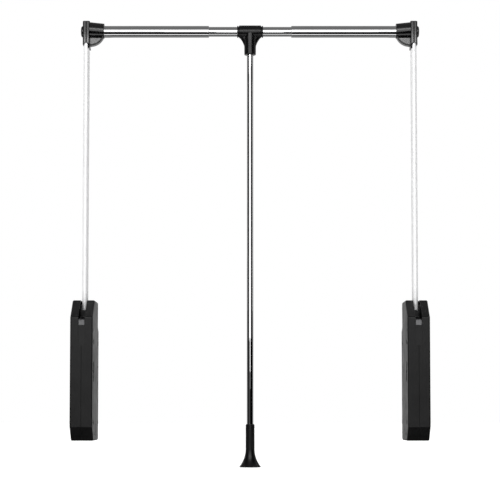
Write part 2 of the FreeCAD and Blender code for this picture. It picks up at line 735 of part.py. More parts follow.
def sector_gear(label):
    """Gear plate beside the web, with involute teeth only where the rack runs on it.

    A flank leaves the base circle along the involute: at radius r the tooth's half angle is the
    half angle at the pitch circle plus inv(pressure angle) less inv(acos(base / r)).
    """
    module, pitch_radius = amount("gear_module"), amount("gear_pitch_radius")
    teeth = round(2 * pitch_radius / module)
    step = 2 * math.pi / teeth
    pressure = math.radians(amount("pressure_angle"))
    base_radius = pitch_radius * math.cos(pressure)
    tip_radius, root_radius = pitch_radius + module, pitch_radius - ROOT_SHARE * module

    def half_angle(radius):
        lean = math.acos(min(1, base_radius / radius))
        start = (math.pi * module / 2 - amount("tooth_backlash")) / (2 * pitch_radius)
        return start + math.tan(pressure) - pressure - math.tan(lean) + lean

    def spot(radius, angle):
        return FreeCAD.Vector(0, radius * math.cos(angle), radius * math.sin(angle))

    # Teeth from just above the rack's first contact to just past its last one
    last = -math.ceil(math.radians(amount("swing_angle")) / step) - 2
    edges, first_point, point = [], None, None
    for tooth in range(2, last - 1, -1):
        middle = tooth * step
        middle_radius = (base_radius + tip_radius) / 2
        rise = [(root_radius, half_angle(base_radius)), (base_radius, half_angle(base_radius)),
                (middle_radius, half_angle(middle_radius)), (tip_radius, half_angle(tip_radius))]
        up = [spot(r, middle + a) for r, a in rise]
        down = [spot(r, middle - a) for r, a in reversed(rise)]
        if point is None:
            first_point = up[0]
        else:
            edges.append(Part.Arc(point, spot(root_radius, middle + step / 2), up[0]).toShape())
        edges.append(Part.LineSegment(up[0], up[1]).toShape())
        edges.append(Part.Arc(up[1], up[2], up[3]).toShape())
        edges.append(Part.Arc(up[3], spot(tip_radius, middle), down[0]).toShape())
        edges.append(Part.Arc(down[0], down[1], down[2]).toShape())
        edges.append(Part.LineSegment(down[2], down[3]).toShape())
        point = down[3]
    around = (last * step + 2 * step + 2 * math.pi) / 2
    edges.append(Part.Arc(point, spot(root_radius, around), first_point).toShape())
    plate = Part.Face(Part.Wire(edges)).extrude(FreeCAD.Vector(amount("gear_thick"), 0, 0))
    bore = Part.makeCylinder(amount("hub_radius + running_fit"), amount("gear_thick"),
                             FreeCAD.Vector(0, 0, 0), FreeCAD.Vector(1, 0, 0))
    plate = plate.cut(bore)
    for turn in GEAR_SCREW_TURNS:
        centre = spot(amount("gear_screw_circle"), math.radians(amount("gear_screw_angle") + turn))
        hole = Part.makeCylinder(amount("gear_screw_radius + seat_fit"), amount("gear_thick"),
                                 centre, FreeCAD.Vector(1, 0, 0))
        plate = plate.cut(hole)
    item = doc.addObject("Part::Feature", label)
    item.Label = label
    item.Shape = plate
    return place(item, f"{SEAM} - arm_wide / 2 - gear_thick", PIVOT_Y, PIVOT_Z)


def rack(label):
    """A bar beside the crank with straight-sided teeth towards the gear, one gap at pivot height."""
    body = new_body(label, x=SEAM)
    side = "-arm_wide / 2 - rack_gap"
    tip_y = f"({PITCH_Y} - gear_module)"
    bar = rectangle(sketch(body, "YZ_Plane", side), tip_y, RACK_FOOT, RACK_BACK_Y, RACK_TOP)
    pad(body, bar, "gear_thick - 2 * rack_gap", False)
    root_y = f"({PITCH_Y} + {ROOT_SHARE} * gear_module)"
    half_gap = f"({TOOTH_PITCH} / 4 + tooth_backlash / 4)"
    root = f"({half_gap} - {ROOT_SHARE} * gear_module * tan(pressure_angle))"
    mouth = f"({half_gap} + (gear_module + overrun) * tan(pressure_angle))"
    gap = outline(sketch(body, "YZ_Plane"), [
        (f"{tip_y} - overrun", f"{TOP_GAP} - {mouth}"),
        (root_y, f"{TOP_GAP} - {root}"),
        (root_y, f"{TOP_GAP} + {root}"),
        (f"{tip_y} - overrun", f"{TOP_GAP} + {mouth}"),
    ])
    cut = pocket(body, gap)
    row = body.newObject("PartDesign::LinearPattern", f"{label}_teeth")
    row.Originals = [cut]
    row.Direction = (gap, ["V_Axis"])
    row.Reversed = True
    row.Occurrences = TOOTH_GAPS
    bind(row, Length=f"{TOOTH_PITCH} * {TOOTH_GAPS - 1}")
    body.Tip = row
    doc.recompute()
    return body


def crosshead(label):
    """The block under the rack that the drawbar and the damper's rod hang from."""
    body = new_body(label, x=SEAM)
    low = f"{RACK_FOOT} - crosshead_tall"
    front, back = f"{PITCH_Y} - gear_module", f"({DRAWBAR_Y} + drawbar_radius + crosshead_wall)"
    under_rack = "-arm_wide / 2 - gear_thick + rack_gap"
    ear = "(damper_rod_radius + crosshead_ear_wall)"
    plan = outline(sketch(body, "XY_Plane", low), [
        (under_rack, front),
        ("crosshead_half_wide", front),
        ("crosshead_half_wide", back),
        (ear, f"{back} + crosshead_shoulder"),
        (ear, f"{DAMPER_Y} + {ear}"),
        (f"-{ear}", f"{DAMPER_Y} + {ear}"),
        (f"-{ear}", f"{back} + crosshead_shoulder"),
        (under_rack, back),
    ])
    pad(body, plan, "crosshead_tall")
    for radius, y in (("drawbar_radius", DRAWBAR_Y), ("damper_rod_radius", DAMPER_Y)):
        bore = circle(sketch(body, "XY_Plane", low), f"{radius} + seat_fit", "0", y)
        pocket(body, bore, "crosshead_tall", True)
    return body


def nut(name, z):
    """A hexagonal nut on the drawbar."""
    block = doc.addObject("Part::Prism", f"{name}_block")
    block.Polygon = 6
    bind(block, Circumradius="nut_radius", Height="nut_tall")
    bore = doc.addObject("Part::Cylinder", f"{name}_bore")
    bind(bore, Radius="drawbar_radius + seat_fit", Height="nut_tall")
    for item in (block, bore):
        place(item, SEAM, DRAWBAR_Y, z)
    return joined(name, "Part::Cut", block, bore)


def spring_seat(label):
    """A steel plate under the ribs, with a hole for the drawbar; the spring pushes up on it."""
    body = new_body(label, x=SEAM)
    half_wide = f"({INSIDE} - guide_gap)"
    plate = rectangle(sketch(body, "XY_Plane", SEAT_FOOT), f"-{half_wide}", f"{DRAWBAR_Y} - seat_half_deep",
                      half_wide, f"{DRAWBAR_Y} + seat_half_deep")
    pad(body, plate, "seat_thick")
    hole = circle(sketch(body, "XY_Plane", SEAT_FOOT), "drawbar_radius + guide_gap", "0", DRAWBAR_Y)
    pocket(body, hole, "seat_thick", True)
    return body


def bumper(label):
    """The rubber block on the slot's sill, its top sloped like the underside of the lowered arm."""
    body = new_body(label, x=SEAM)
    side = outline(sketch(body, "YZ_Plane"), [
        (f"{FRONT} + bumper_side_gap", SILL),
        (BUMPER_BACK, SILL),
        (BUMPER_BACK, f"{arm_underside(BUMPER_BACK)} - rest_gap"),
        (f"{FRONT} + bumper_side_gap", f"{arm_underside(FRONT)} - rest_gap"),
    ])
    pad_both(body, side, "slot_width - 2 * bumper_side_gap")
    return body


def arm_tube(label):
    """The flat oval tube of the arm, pierced for its two pins and the connector's screw."""
    body = new_body(label, x=SEAM)
    section = sketch(body, "XY_Plane", ARM_FOOT)
    oval(section, "arm_wide / 2", "arm_deep / 2", ARM_Y)
    oval(section, "arm_wide / 2 - arm_wall", "arm_deep / 2 - arm_wall", ARM_Y)
    pad(body, section, f"{RAIL_Z} + arm_head_above_rail - {ARM_FOOT}")
    for z in ARM_PINS:
        pocket(body, circle(sketch(body, "YZ_Plane"), "arm_pin_radius + seat_fit", ARM_Y, z))
    pocket(body, circle(sketch(body, "YZ_Plane"), "joint_screw_radius + running_fit", ARM_Y, RAIL_Z))
    return body


SOCKET_SIDE = "(arm_wide / 2 + socket_wall)"
SOCKET_HALF = "(arm_deep / 2 + socket_wall)"


def disc(name, radius, half):
    """A disc about the rail's middle line where it meets the connector's socket."""
    item = doc.addObject("Part::Cylinder", name)
    bind(item, Radius=radius, Height=f"2 * ({half})")
    item.Placement.Rotation = FreeCAD.Rotation(FreeCAD.Vector(1, 0, 0), 90)
    return place(item, f"{SEAM} + {SOCKET_SIDE}", f"{ARM_Y} + {half}", RAIL_Z)


def connector(label):
    """The corner moulding: an upright socket for the arm, a tapered sleeve for the rail's tube, and
    between them a rounded web with a rim. Bored for both tubes and for the screw that joins them."""
    body = new_body(f"{label}_form", x=SEAM)
    lowest = f"({RAIL_Z} - socket_below_rail - inner_lip)"
    pad(body, oval(sketch(body, "XY_Plane", lowest), SOCKET_SIDE, SOCKET_HALF, ARM_Y),
        "socket_above_rail + socket_below_rail + inner_lip")
    top = amount(f"{RAIL_Z} + socket_above_rail")
    fillet(body, "socket_round", lambda edge: abs(edge.BoundBox.Center.z - top) < 1e-6)
    spring_line = f"{RAIL_Z} - socket_below_rail - arch_rise"
    arch = outline(sketch(body, "XZ_Plane"), [
        ("-arm_wide / 2", f"{lowest} - overrun"),
        ("arm_wide / 2", f"{lowest} - overrun"),
        ("arm_wide / 2", spring_line, arc_radius("arm_wide / 2", "arch_rise")),
        ("-arm_wide / 2", spring_line),
    ])
    pocket(body, arch)
    lip = rectangle(sketch(body, "XZ_Plane"), f"-{SOCKET_SIDE} - overrun", f"{lowest} - overrun",
                    "0", f"{RAIL_Z} - socket_below_rail - outer_lip")
    pocket(body, lip)
    root = circle(sketch(body, "YZ_Plane", "arm_wall"), "sleeve_root_radius",
                  ARM_Y, f"{RAIL_Z} + sleeve_root_lift")
    mouth = circle(sketch(body, "YZ_Plane", "sleeve_reach"), "sleeve_mouth_radius",
                   ARM_Y, f"{RAIL_Z} + sleeve_mouth_lift")
    sleeve = body.newObject("PartDesign::AdditiveLoft", f"{label}_sleeve")
    sleeve.Profile = root
    sleeve.Sections = [mouth]
    doc.recompute()

    rim = joined(f"{label}_rim", "Part::Cut",
                 disc(f"{label}_rim_outside", "web_radius", "web_rim_half"),
                 disc(f"{label}_rim_inside", "web_radius - web_rim_thick", "web_rim_half + overrun"))
    whole = joined(f"{label}_disc", "Part::Fuse", rim,
                   disc(f"{label}_web", "web_radius", "web_half_thick"))
    quarter = doc.addObject("Part::Box", f"{label}_quarter")
    bind(quarter, Length="sleeve_reach", Width="4 * web_rim_half", Height="web_radius")
    place(quarter, f"{SEAM} + {SOCKET_SIDE} - arm_wall / 2", f"{ARM_Y} - 2 * web_rim_half",
          f"{RAIL_Z} - web_start - web_radius")
    gusset = joined(f"{label}_gusset", "Part::Common", whole, quarter)
    solid = joined(f"{label}_solid", "Part::Fuse", body, gusset)

    bores = new_body(f"{label}_bores", x=SEAM)
    fit = "running_fit"
    pad(bores, oval(sketch(bores, "XY_Plane", f"{lowest} - overrun"), f"arm_wide / 2 + {fit}",
                    f"arm_deep / 2 + {fit}", ARM_Y),
        f"{RAIL_Z} + arm_head_above_rail + {fit} - {lowest} + overrun")
    pad(bores, circle(sketch(bores, "YZ_Plane", SOCKET_SIDE), f"outer_tube_radius + {fit}", ARM_Y, RAIL_Z),
        "sleeve_reach")
    pad(bores, circle(sketch(bores, "YZ_Plane", f"-{SOCKET_SIDE} - overrun"), f"joint_screw_radius + {fit}",
                      ARM_Y, RAIL_Z), f"2 * ({SOCKET_SIDE} + overrun)")
    item = joined(label, "Part::Cut", solid, bores)
    item.Label = label
    return item


def side_pieces():
    """Every piece of the left side, by name: case, pivot, gear drive, spring, damper, arm, rail end."""
    pieces = {}

    def keep(name, item):
        pieces[name] = item
        return item

    keep("housing_base", half_case("left_housing_base", -1))
    keep("housing_cover", half_case("left_housing_cover", 1))
    tip = "-case_screw_bite"
    screws = [turned(f"left_case_screw_{n}", "x", [
        (tip, "0"), (tip, "case_screw_radius"), ("case_screw_seat", "case_screw_radius"),
        ("case_screw_seat", "case_screw_head"), ("case_screw_seat + case_screw_head_tall", "case_screw_head"),
        ("case_screw_seat + case_screw_head_tall", "0")], SEAM, y, z) for n, (y, z) in enumerate(CASE_SCREWS)]
    keep("case_screws", group("left_case_screws", screws))

    end = "(housing_thick / 2 - axle_skin - seat_fit)"
    keep("pivot_axle", turned("left_pivot_axle", "x", [
        (f"-{end}", "0"), (f"-{end}", "axle_radius"), (end, "axle_radius"), (end, "0")],
        SEAM, PIVOT_Y, PIVOT_Z))
    flange = "(pivot_post_inner - pivot_side_gap)"
    bushes = []
    for side in (-1, 1):
        inner = f"{side} * ({flange} - bush_flange_thick - bush_length)"
        shoulder = f"{side} * ({flange} - bush_flange_thick)"
        bushes.append(turned(f"left_bush_{side + 1}", "x", [
            (inner, "axle_radius + running_fit"), (inner, "bush_radius"), (shoulder, "bush_radius"),
            (shoulder, "bush_flange_radius"), (f"{side} * {flange}", "bush_flange_radius"),
            (f"{side} * {flange}", "axle_radius + running_fit")], SEAM, PIVOT_Y, PIVOT_Z))
    keep("pivot_bushes", group("left_pivot_bushes", bushes))

    keep("arm_carrier", arm_carrier("left_arm_carrier"))
    keep("sector_gear", sector_gear("left_sector_gear"))
    inner, outside = "(-arm_wide / 2 + gear_screw_bite)", "(-arm_wide / 2 - gear_thick)"
    keep("gear_screws", group("left_gear_screws", [turned(f"left_gear_screw_{n}", "x", [
        (inner, "0"), (inner, "gear_screw_radius"), (outside, "gear_screw_radius"), (outside, "0")],
        SEAM, y, z) for n, (y, z) in enumerate(GEAR_SCREWS)]))
    keep("rack", rack("left_rack"))
    keep("crosshead", crosshead("left_crosshead"))
    rod_foot = f"({SPRING_FOOT} - washer_thick - nut_tall - nut_spare)"
    rod_head = f"({RACK_FOOT} + nut_tall + nut_spare)"
    keep("drawbar", turned("left_drawbar", "z", [
        (rod_foot, "0"), (rod_foot, "drawbar_radius"), (rod_head, "drawbar_radius"), (rod_head, "0")],
        SEAM, DRAWBAR_Y))
    keep("drawbar_nuts", group("left_drawbar_nuts", [
        nut("left_nut_top", RACK_FOOT), nut("left_nut_foot", f"{SPRING_FOOT} - washer_thick - nut_tall")]))
    washer_foot = f"({SPRING_FOOT} - washer_thick)"
    keep("spring_washer", turned("left_spring_washer", "z", [
        (washer_foot, "drawbar_radius + seat_fit"), (washer_foot, "washer_radius"),
        (SPRING_FOOT, "washer_radius"), (SPRING_FOOT, "drawbar_radius + seat_fit")], SEAM, DRAWBAR_Y))
    inner, outer = "(spring_mean_radius - spring_wire_radius)", "(spring_mean_radius + spring_wire_radius)"
    keep("lift_spring", turned("left_lift_spring", "z", [
        (SPRING_FOOT, inner), (SPRING_FOOT, outer), (SEAT_FOOT, outer), (SEAT_FOOT, inner)], SEAM, DRAWBAR_Y))
    keep("spring_seat", spring_seat("left_spring_seat"))

    gland = f"({DAMPER_TOP} - damper_gland)"
    floor = f"({DAMPER_FOOT} + saddle_thick)"
    tail = f"({FOOT} + shell_wall + seat_fit)"
    keep("damper_cylinder", turned("left_damper_cylinder", "z", [
        (tail, "0"), (tail, "damper_tail_radius"), (DAMPER_FOOT, "damper_tail_radius"),
        (DAMPER_FOOT, "damper_radius"), (DAMPER_TOP, "damper_radius"),
        (DAMPER_TOP, "damper_rod_radius + running_fit"), (gland, "damper_rod_radius + running_fit"),
        (gland, "damper_bore"), (floor, "damper_bore"), (floor, "0")], SEAM, DAMPER_Y))
    piston_foot = f"({floor} + piston_lift)"
    piston = "damper_bore - running_fit"
    keep("damper_rod", turned("left_damper_rod", "z", [
        (piston_foot, "0"), (piston_foot, piston), (f"{piston_foot} + piston_tall", piston),
        (f"{piston_foot} + piston_tall", "damper_rod_radius"), (RACK_FOOT, "damper_rod_radius"),
        (RACK_FOOT, "0")], SEAM, DAMPER_Y))
    keep("slot_bumper", bumper("left_slot_bumper"))

    keep("arm_tube", arm_tube("left_arm_tube"))
    half = "(arm_wide / 2)"
    keep("arm_pins", group("left_arm_pins", [turned(f"left_arm_pin_{n}", "x", [
        (f"-{half}", "0"), (f"-{half}", "arm_pin_radius"), (half, "arm_pin_radius"), (half, "0")],
        SEAM, ARM_Y, z) for n, z in enumerate(ARM_PINS)]))
    keep("corner_connector", connector("left_corner_connector"))
    head = f"(-{SOCKET_SIDE})"
    screw_end = f"({SOCKET_SIDE} + plug_length - joint_screw_radius)"
    keep("connector_screw", turned("left_connector_screw", "x", [
        (f"{head} - joint_screw_head_tall", "0"), (f"{head} - joint_screw_head_tall", "joint_screw_head"),
        (head, "joint_screw_head"), (head, "joint_screw_radius"), (screw_end, "joint_screw_radius"),
        (screw_end, "0")], SEAM, ARM_Y, RAIL_Z))
    rim = "(joint_screw_head + running_fit)"
    keep("connector_cap", turned("left_connector_cap", "x", [
        (head, rim), (head, "cap_radius"), (f"{head} - cap_edge", "cap_radius", "cap_round"),
        (f"{head} - cap_proud", "cap_radius - cap_proud"), (f"{head} - cap_proud", "0"),
        (f"{head} - joint_screw_head_tall - running_fit", "0"),
        (f"{head} - joint_screw_head_tall - running_fit", rim)], SEAM, ARM_Y, RAIL_Z))
    plug_end = f"({SOCKET_SIDE} + plug_length)"
    tube_bore = "(outer_tube_radius - outer_tube_wall)"
    keep("rail_plug", turned("left_rail_plug", "x", [
        (SOCKET_SIDE, "joint_screw_radius + seat_fit"), (SOCKET_SIDE, f"{tube_bore} - seat_fit"),
        (plug_end, f"{tube_bore} - seat_fit"), (plug_end, "joint_screw_radius + seat_fit")],
        SEAM, ARM_Y, RAIL_Z))
    mouth = f"({MIDDLE} - outer_tube_mouth)"
    keep("outer_rail_tube", turned("left_outer_rail_tube", "x", [
        (f"{SEAM} + {SOCKET_SIDE}", tube_bore), (f"{SEAM} + {SOCKET_SIDE}", "outer_tube_radius"),
        (mouth, "outer_tube_radius"), (mouth, tube_bore)], "0", ARM_Y, RAIL_Z))
    liner = "(inner_tube_radius + running_fit)"
    keep("tube_mouth_bush", turned("left_tube_mouth_bush", "x", [
        (f"{mouth} - mouth_bush_length", liner), (f"{mouth} - mouth_bush_length", f"{tube_bore} - seat_fit"),
        (mouth, f"{tube_bore} - seat_fit"), (mouth, liner)], "0", ARM_Y, RAIL_Z))
    return pieces


def other_side(pieces):
    """The right side's pieces: mirror images of the left ones in the middle plane of the rail."""
    mirrored = {}
    for name, source in pieces.items():
        item = doc.addObject("Part::Mirroring", f"right_{name}")
        item.Label = f"right_{name}"
        item.Source = source
        item.Normal = FreeCAD.Vector(1, 0, 0)
        bind(item, Base__x=MIDDLE)
        mirrored[name] = item
    return mirrored


def centre_tube():
    """The thin tube that both outer tubes slide on."""
    half, bore = "(inner_tube_length / 2)", "(inner_tube_radius - inner_tube_wall)"
    return turned("centre_rail_tube", "x", [
        (f"-{half}", bore), (f"-{half}", "inner_tube_radius"), (half, "inner_tube_radius"), (half, bore)],
        MIDDLE, ARM_Y, RAIL_Z)


def centre_plugs():
    """A plug in each end of the centre tube, its collar running in the outer tube."""
    half, spigot = "(inner_tube_length / 2)", "(inner_tube_radius - inner_tube_wall - seat_fit)"
    collar = "(outer_tube_radius - outer_tube_wall - running_fit)"
    return group("centre_tube_plugs", [turned(f"centre_plug_{side + 1}", "x", [
        (f"{side} * ({half} - plug_spigot)", "0"), (f"{side} * ({half} - plug_spigot)", spigot),
        (f"{side} * {half}", spigot), (f"{side} * {half}", collar),
        (f"{side} * ({half} + plug_collar)", collar), (f"{side} * ({half} + plug_collar)", "0")],
        MIDDLE, ARM_Y, RAIL_Z) for side in (-1, 1)])


def tee():
    """Sleeve that turns on the centre tube, a round neck down to the pull rod, and curved webs that
    flare from the neck to the sleeve. Bored for tube, rod and the pin through the rod."""
    right = [("tee_half", "tee_radius"), ("tee_half", "tee_collar_radius"),
             ("tee_collar_half", "tee_lip_radius"), ("tee_collar_half", "0")]
    left = [(f"-{reach}", radius) for reach, radius in reversed(right)]
    sleeve = turned("rod_tee_sleeve", "x", left + right, MIDDLE, ARM_Y, RAIL_Z)
    neck = turned("rod_tee_neck", "z", [
        ("-tee_drop", "0"), ("-tee_drop", "tee_neck_foot - tee_mouth_bevel"),
        ("-tee_drop + tee_mouth_bevel", "tee_neck_foot"), ("0", "tee_neck_head"), ("0", "0")],
        MIDDLE, ARM_Y, RAIL_Z)
    web = new_body("rod_tee_web", MIDDLE, ARM_Y, RAIL_Z)
    sweep = arc_radius("tee_web_drop - tee_web_shoulder", "tee_half - tee_web_foot_half")
    pad_both(web, outline(sketch(web, "XZ_Plane"), [
        ("-tee_half", "0"),
        ("-tee_half", "-tee_web_shoulder", f"-{sweep}"),
        ("-tee_web_foot_half", "-tee_web_drop"),
        ("tee_web_foot_half", "-tee_web_drop", f"-{sweep}"),
        ("tee_half", "-tee_web_shoulder"),
        ("tee_half", "0"),
    ]), "tee_web_thick")
    fillet(web, "tee_web_round", lambda edge: (
        edge.BoundBox.YLength < 1e-6 and isinstance(edge.Curve, Part.Circle)))
    form = joined("rod_tee_form", "Part::Fuse", joined("rod_tee_stem", "Part::Fuse", sleeve, neck), web)
    bores = new_body("rod_tee_bores", MIDDLE, ARM_Y, RAIL_Z)
    pad_both(bores, circle(sketch(bores, "YZ_Plane"), "inner_tube_radius + running_fit"),
             "2 * (tee_collar_half + overrun)")
    socket = circle(sketch(bores, "XY_Plane", "-tee_drop - overrun"), "rod_radius + seat_fit")
    pad(bores, socket, "rod_above_tee_mouth + overrun")
    pad_both(bores, circle(sketch(bores, "YZ_Plane"), "tee_pin_radius + seat_fit", "0", "-tee_pin_drop"),
             "2 * (tee_radius + overrun)")
    item = joined("rod_tee", "Part::Cut", form, bores)
    item.Label = "rod_tee"
    return item


HANDLE_TOP = f"({FOOT} + handle_top_above_foot)"
HANDLE_FOOT = f"({HANDLE_TOP} - handle_length)"
ROD_FOOT = f"({HANDLE_TOP} - rod_into_handle)"
ROD_TOP = f"({RAIL_Z} - tee_drop + rod_above_tee_mouth)"


def pull_rod():
    """The chromed tube, pierced for the pin in the tee."""
    bore = "(rod_radius - rod_wall)"
    body = turned("pull_rod", "z", [
        (ROD_FOOT, bore), (ROD_FOOT, "rod_radius"), (ROD_TOP, "rod_radius"), (ROD_TOP, bore)], MIDDLE, ARM_Y)
    hole = circle(sketch(body, "YZ_Plane"), "tee_pin_radius + seat_fit", "0", f"{RAIL_Z} - tee_pin_drop")
    pocket(body, hole)
    return body


def handle():
    """The bell-shaped handle, turned: rounded shoulders, a straight grip, a flared and hollow mouth."""
    sweep = arc_radius("handle_flare_tall - handle_lip", "handle_mouth_radius - handle_grip_radius")
    rod_bore, screw_bore = "(rod_radius + seat_fit)", "(joint_screw_radius + running_fit)"
    boss = f"({ROD_FOOT} - handle_wall)"
    return turned("pull_handle", "z", [
        (HANDLE_TOP, rod_bore),
        (HANDLE_TOP, "handle_grip_radius - handle_shoulder", "-handle_shoulder"),
        (f"{HANDLE_TOP} - handle_shoulder", "handle_grip_radius"),
        (f"{HANDLE_FOOT} + handle_flare_tall", "handle_grip_radius", sweep),
        (f"{HANDLE_FOOT} + handle_lip", "handle_mouth_radius"),
        (HANDLE_FOOT, "handle_mouth_radius - handle_wall / 4"),
        (HANDLE_FOOT, "handle_mouth_radius - handle_wall", f"-({sweep} + handle_wall)"),
        (boss, "handle_boss_radius"),
        (boss, screw_bore),
        (ROD_FOOT, screw_bore),
        (ROD_FOOT, rod_bore),
    ], MIDDLE, ARM_Y)


def small_centre_pieces():
    """The tee's pin, the plug in the rod's foot and the screw that holds the handle to it."""
    half = "(tee_neck_foot - tee_pin_inset)"
    pin = turned("tee_pin", "x", [
        (f"-{half}", "0"), (f"-{half}", "tee_pin_radius"), (half, "tee_pin_radius"), (half, "0")],
        MIDDLE, ARM_Y, f"{RAIL_Z} - tee_pin_drop")
    plug_radius = "(rod_radius - rod_wall - seat_fit)"
    plug = turned("rod_plug", "z", [
        (ROD_FOOT, "joint_screw_radius + seat_fit"), (ROD_FOOT, plug_radius),
        (f"{ROD_FOOT} + rod_plug_length", plug_radius),
        (f"{ROD_FOOT} + rod_plug_length", "joint_screw_radius + seat_fit")], MIDDLE, ARM_Y)
    seat = f"({ROD_FOOT} - handle_wall)"
    screw = turned("handle_screw", "z", [
        (f"{seat} - joint_screw_head_tall", "0"), (f"{seat} - joint_screw_head_tall", "joint_screw_head"),
        (seat, "joint_screw_head"), (seat, "joint_screw_radius"),
        (f"{ROD_FOOT} + rod_plug_length", "joint_screw_radius"), (f"{ROD_FOOT} + rod_plug_length", "0")],
        MIDDLE, ARM_Y)
    return {"tee_pin": pin, "rod_plug": plug, "handle_screw": screw}


left = side_pieces()
doc.recompute()
right = other_side(left)
nodes = {f"left_{name}": item for name, item in left.items()}
nodes.update({f"right_{name}": item for name, item in right.items()})
nodes.update({"centre_rail_tube": centre_tube(), "centre_tube_plugs": centre_plugs(), "rod_tee": tee(),
              "pull_rod": pull_rod(), "pull_handle": handle()})
nodes.update(small_centre_pieces())
doc.recompute()

# Nothing is written unless every object recomputed and every sub-part is a valid shape
faults = [item.Name for item in doc.Objects if "Invalid" in item.State or "Error" in item.State]
faults += [name for name, item in nodes.items() if item.Shape.isNull() or not item.Shape.isValid()]
if faults:
    raise RuntimeError(f"these did not come out: {faults}")
os.makedirs("parts", exist_ok=True)
for name, item in nodes.items():
    item.Shape.exportStep(os.path.join("parts", f"{name}.step"))
print(f"{len(nodes)} sub-parts, {sum(len(item.Shape.Solids) for item in nodes.values())} solids")
print("rail height", amount(RAIL_Z), "pivot", amount(PIVOT_Y), amount(PIVOT_Z), "sill", amount(SILL))
print("rack travel", amount(RACK_TRAVEL), "spring from", amount(SPRING_FOOT), "to", amount(SEAT_FOOT))
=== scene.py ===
# A pull-down wardrobe rail: two black housings, two satin arms, a chromed telescopic rail between
# the arms' heads, and a chromed pull rod with a bell-shaped handle. Metres, in the part's own frame:
# X along the rail, Y from the front to the back, Z up.
import bmesh
import bpy
import json
import math
import numpy as np
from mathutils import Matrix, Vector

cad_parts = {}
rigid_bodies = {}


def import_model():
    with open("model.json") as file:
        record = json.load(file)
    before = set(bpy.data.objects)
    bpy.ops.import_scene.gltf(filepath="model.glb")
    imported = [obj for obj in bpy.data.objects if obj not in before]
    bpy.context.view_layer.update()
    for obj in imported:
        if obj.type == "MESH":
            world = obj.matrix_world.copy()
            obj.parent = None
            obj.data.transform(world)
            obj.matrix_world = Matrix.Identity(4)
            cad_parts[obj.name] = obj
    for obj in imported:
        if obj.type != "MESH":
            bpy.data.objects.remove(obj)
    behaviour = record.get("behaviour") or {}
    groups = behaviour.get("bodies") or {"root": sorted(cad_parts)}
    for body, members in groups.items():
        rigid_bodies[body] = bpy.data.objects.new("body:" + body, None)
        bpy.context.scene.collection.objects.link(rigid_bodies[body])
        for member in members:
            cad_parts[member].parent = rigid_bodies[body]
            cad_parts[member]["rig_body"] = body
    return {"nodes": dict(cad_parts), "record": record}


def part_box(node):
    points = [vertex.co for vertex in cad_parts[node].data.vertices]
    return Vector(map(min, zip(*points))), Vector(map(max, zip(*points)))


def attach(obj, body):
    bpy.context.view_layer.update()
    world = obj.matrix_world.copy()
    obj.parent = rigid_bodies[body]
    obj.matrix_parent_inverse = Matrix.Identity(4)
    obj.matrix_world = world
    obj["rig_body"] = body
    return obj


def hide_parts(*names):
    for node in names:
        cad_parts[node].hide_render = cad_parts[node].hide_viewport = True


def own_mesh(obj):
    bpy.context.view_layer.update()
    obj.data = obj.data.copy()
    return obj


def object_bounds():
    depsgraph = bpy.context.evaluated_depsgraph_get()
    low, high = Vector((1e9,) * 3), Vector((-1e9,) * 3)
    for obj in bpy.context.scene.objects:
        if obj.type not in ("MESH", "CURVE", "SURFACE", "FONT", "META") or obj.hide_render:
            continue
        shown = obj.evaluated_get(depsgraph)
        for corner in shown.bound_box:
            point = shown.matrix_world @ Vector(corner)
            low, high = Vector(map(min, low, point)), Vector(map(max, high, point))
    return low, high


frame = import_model()
cad_box = [list(corner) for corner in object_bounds()]

# The tent. White cloth hangs all round the object. It is white to the camera and in mirrors, and
# lights the object with a weaker, even glow.
TENT_GLOW = 0.55
TENT_WHITE = 1.0
WHITE = (1, 1, 1, 1)
MIX_FIRST, MIX_SECOND = 2, 3


def link(tree, source, target):
    """Joins an output socket to an input socket."""
    tree.links.new(source, target)


def add_node(tree, kind, **settings):
    """A shader node with its settings."""
    node = tree.nodes.new(kind)
    for key, value in settings.items():
        setattr(node, key, value)
    return node


def seen_or_mirrored(tree):
    """1 for a ray from the camera, a mirror or glass, and 0 for a ray that only carries light."""
    path = add_node(tree, "ShaderNodeLightPath")
    mirrored = add_node(tree, "ShaderNodeMath", operation="MAXIMUM")
    seen = add_node(tree, "ShaderNodeMath", operation="MAXIMUM")
    link(tree, path.outputs["Is Glossy Ray"], mirrored.inputs[0])
    link(tree, path.outputs["Is Transmission Ray"], mirrored.inputs[1])
    link(tree, path.outputs["Is Camera Ray"], seen.inputs[0])
    link(tree, mirrored.outputs[0], seen.inputs[1])
    return seen.outputs[0]


world = bpy.data.worlds.new("tent")
bpy.context.scene.world = world
world.use_nodes = True
tree = world.node_tree
tree.nodes.clear()
glow = add_node(tree, "ShaderNodeMix", data_type="FLOAT")
back = add_node(tree, "ShaderNodeBackground")
out = add_node(tree, "ShaderNodeOutputWorld")
link(tree, seen_or_mirrored(tree), glow.inputs[0])
glow.inputs[MIX_FIRST].default_value = TENT_GLOW
glow.inputs[MIX_SECOND].default_value = TENT_WHITE
back.inputs["Color"].default_value = WHITE
link(tree, glow.outputs[0], back.inputs["Strength"])
link(tree, back.outputs[0], out.inputs["Surface"])

# The floor. A matt sheet of pale paper that takes the object's shadow, about 13 cm below the
# housings, and that is lifted to white where the camera or a mirror sees it.
FLOOR_Z = -0.30
FLOOR_REACH = 30
FLOOR_PALE = 0.88
FLOOR_LIFT = 0.25


def plane(name, corner, side_a, side_b):
    """A flat sheet: corner + a * side_a + b * side_b, with a and b from 0 to 1."""
    corner, side_a, side_b = (np.array(v, float) for v in (corner, side_a, side_b))
    corners = np.array([corner, corner + side_a, corner + side_a + side_b, corner + side_b])
    mesh = bpy.data.meshes.new(name)
    mesh.from_pydata(corners.tolist(), [], [(0, 1, 2, 3)])
    item = bpy.data.objects.new(name, mesh)
    bpy.context.scene.collection.objects.link(item)
    return item


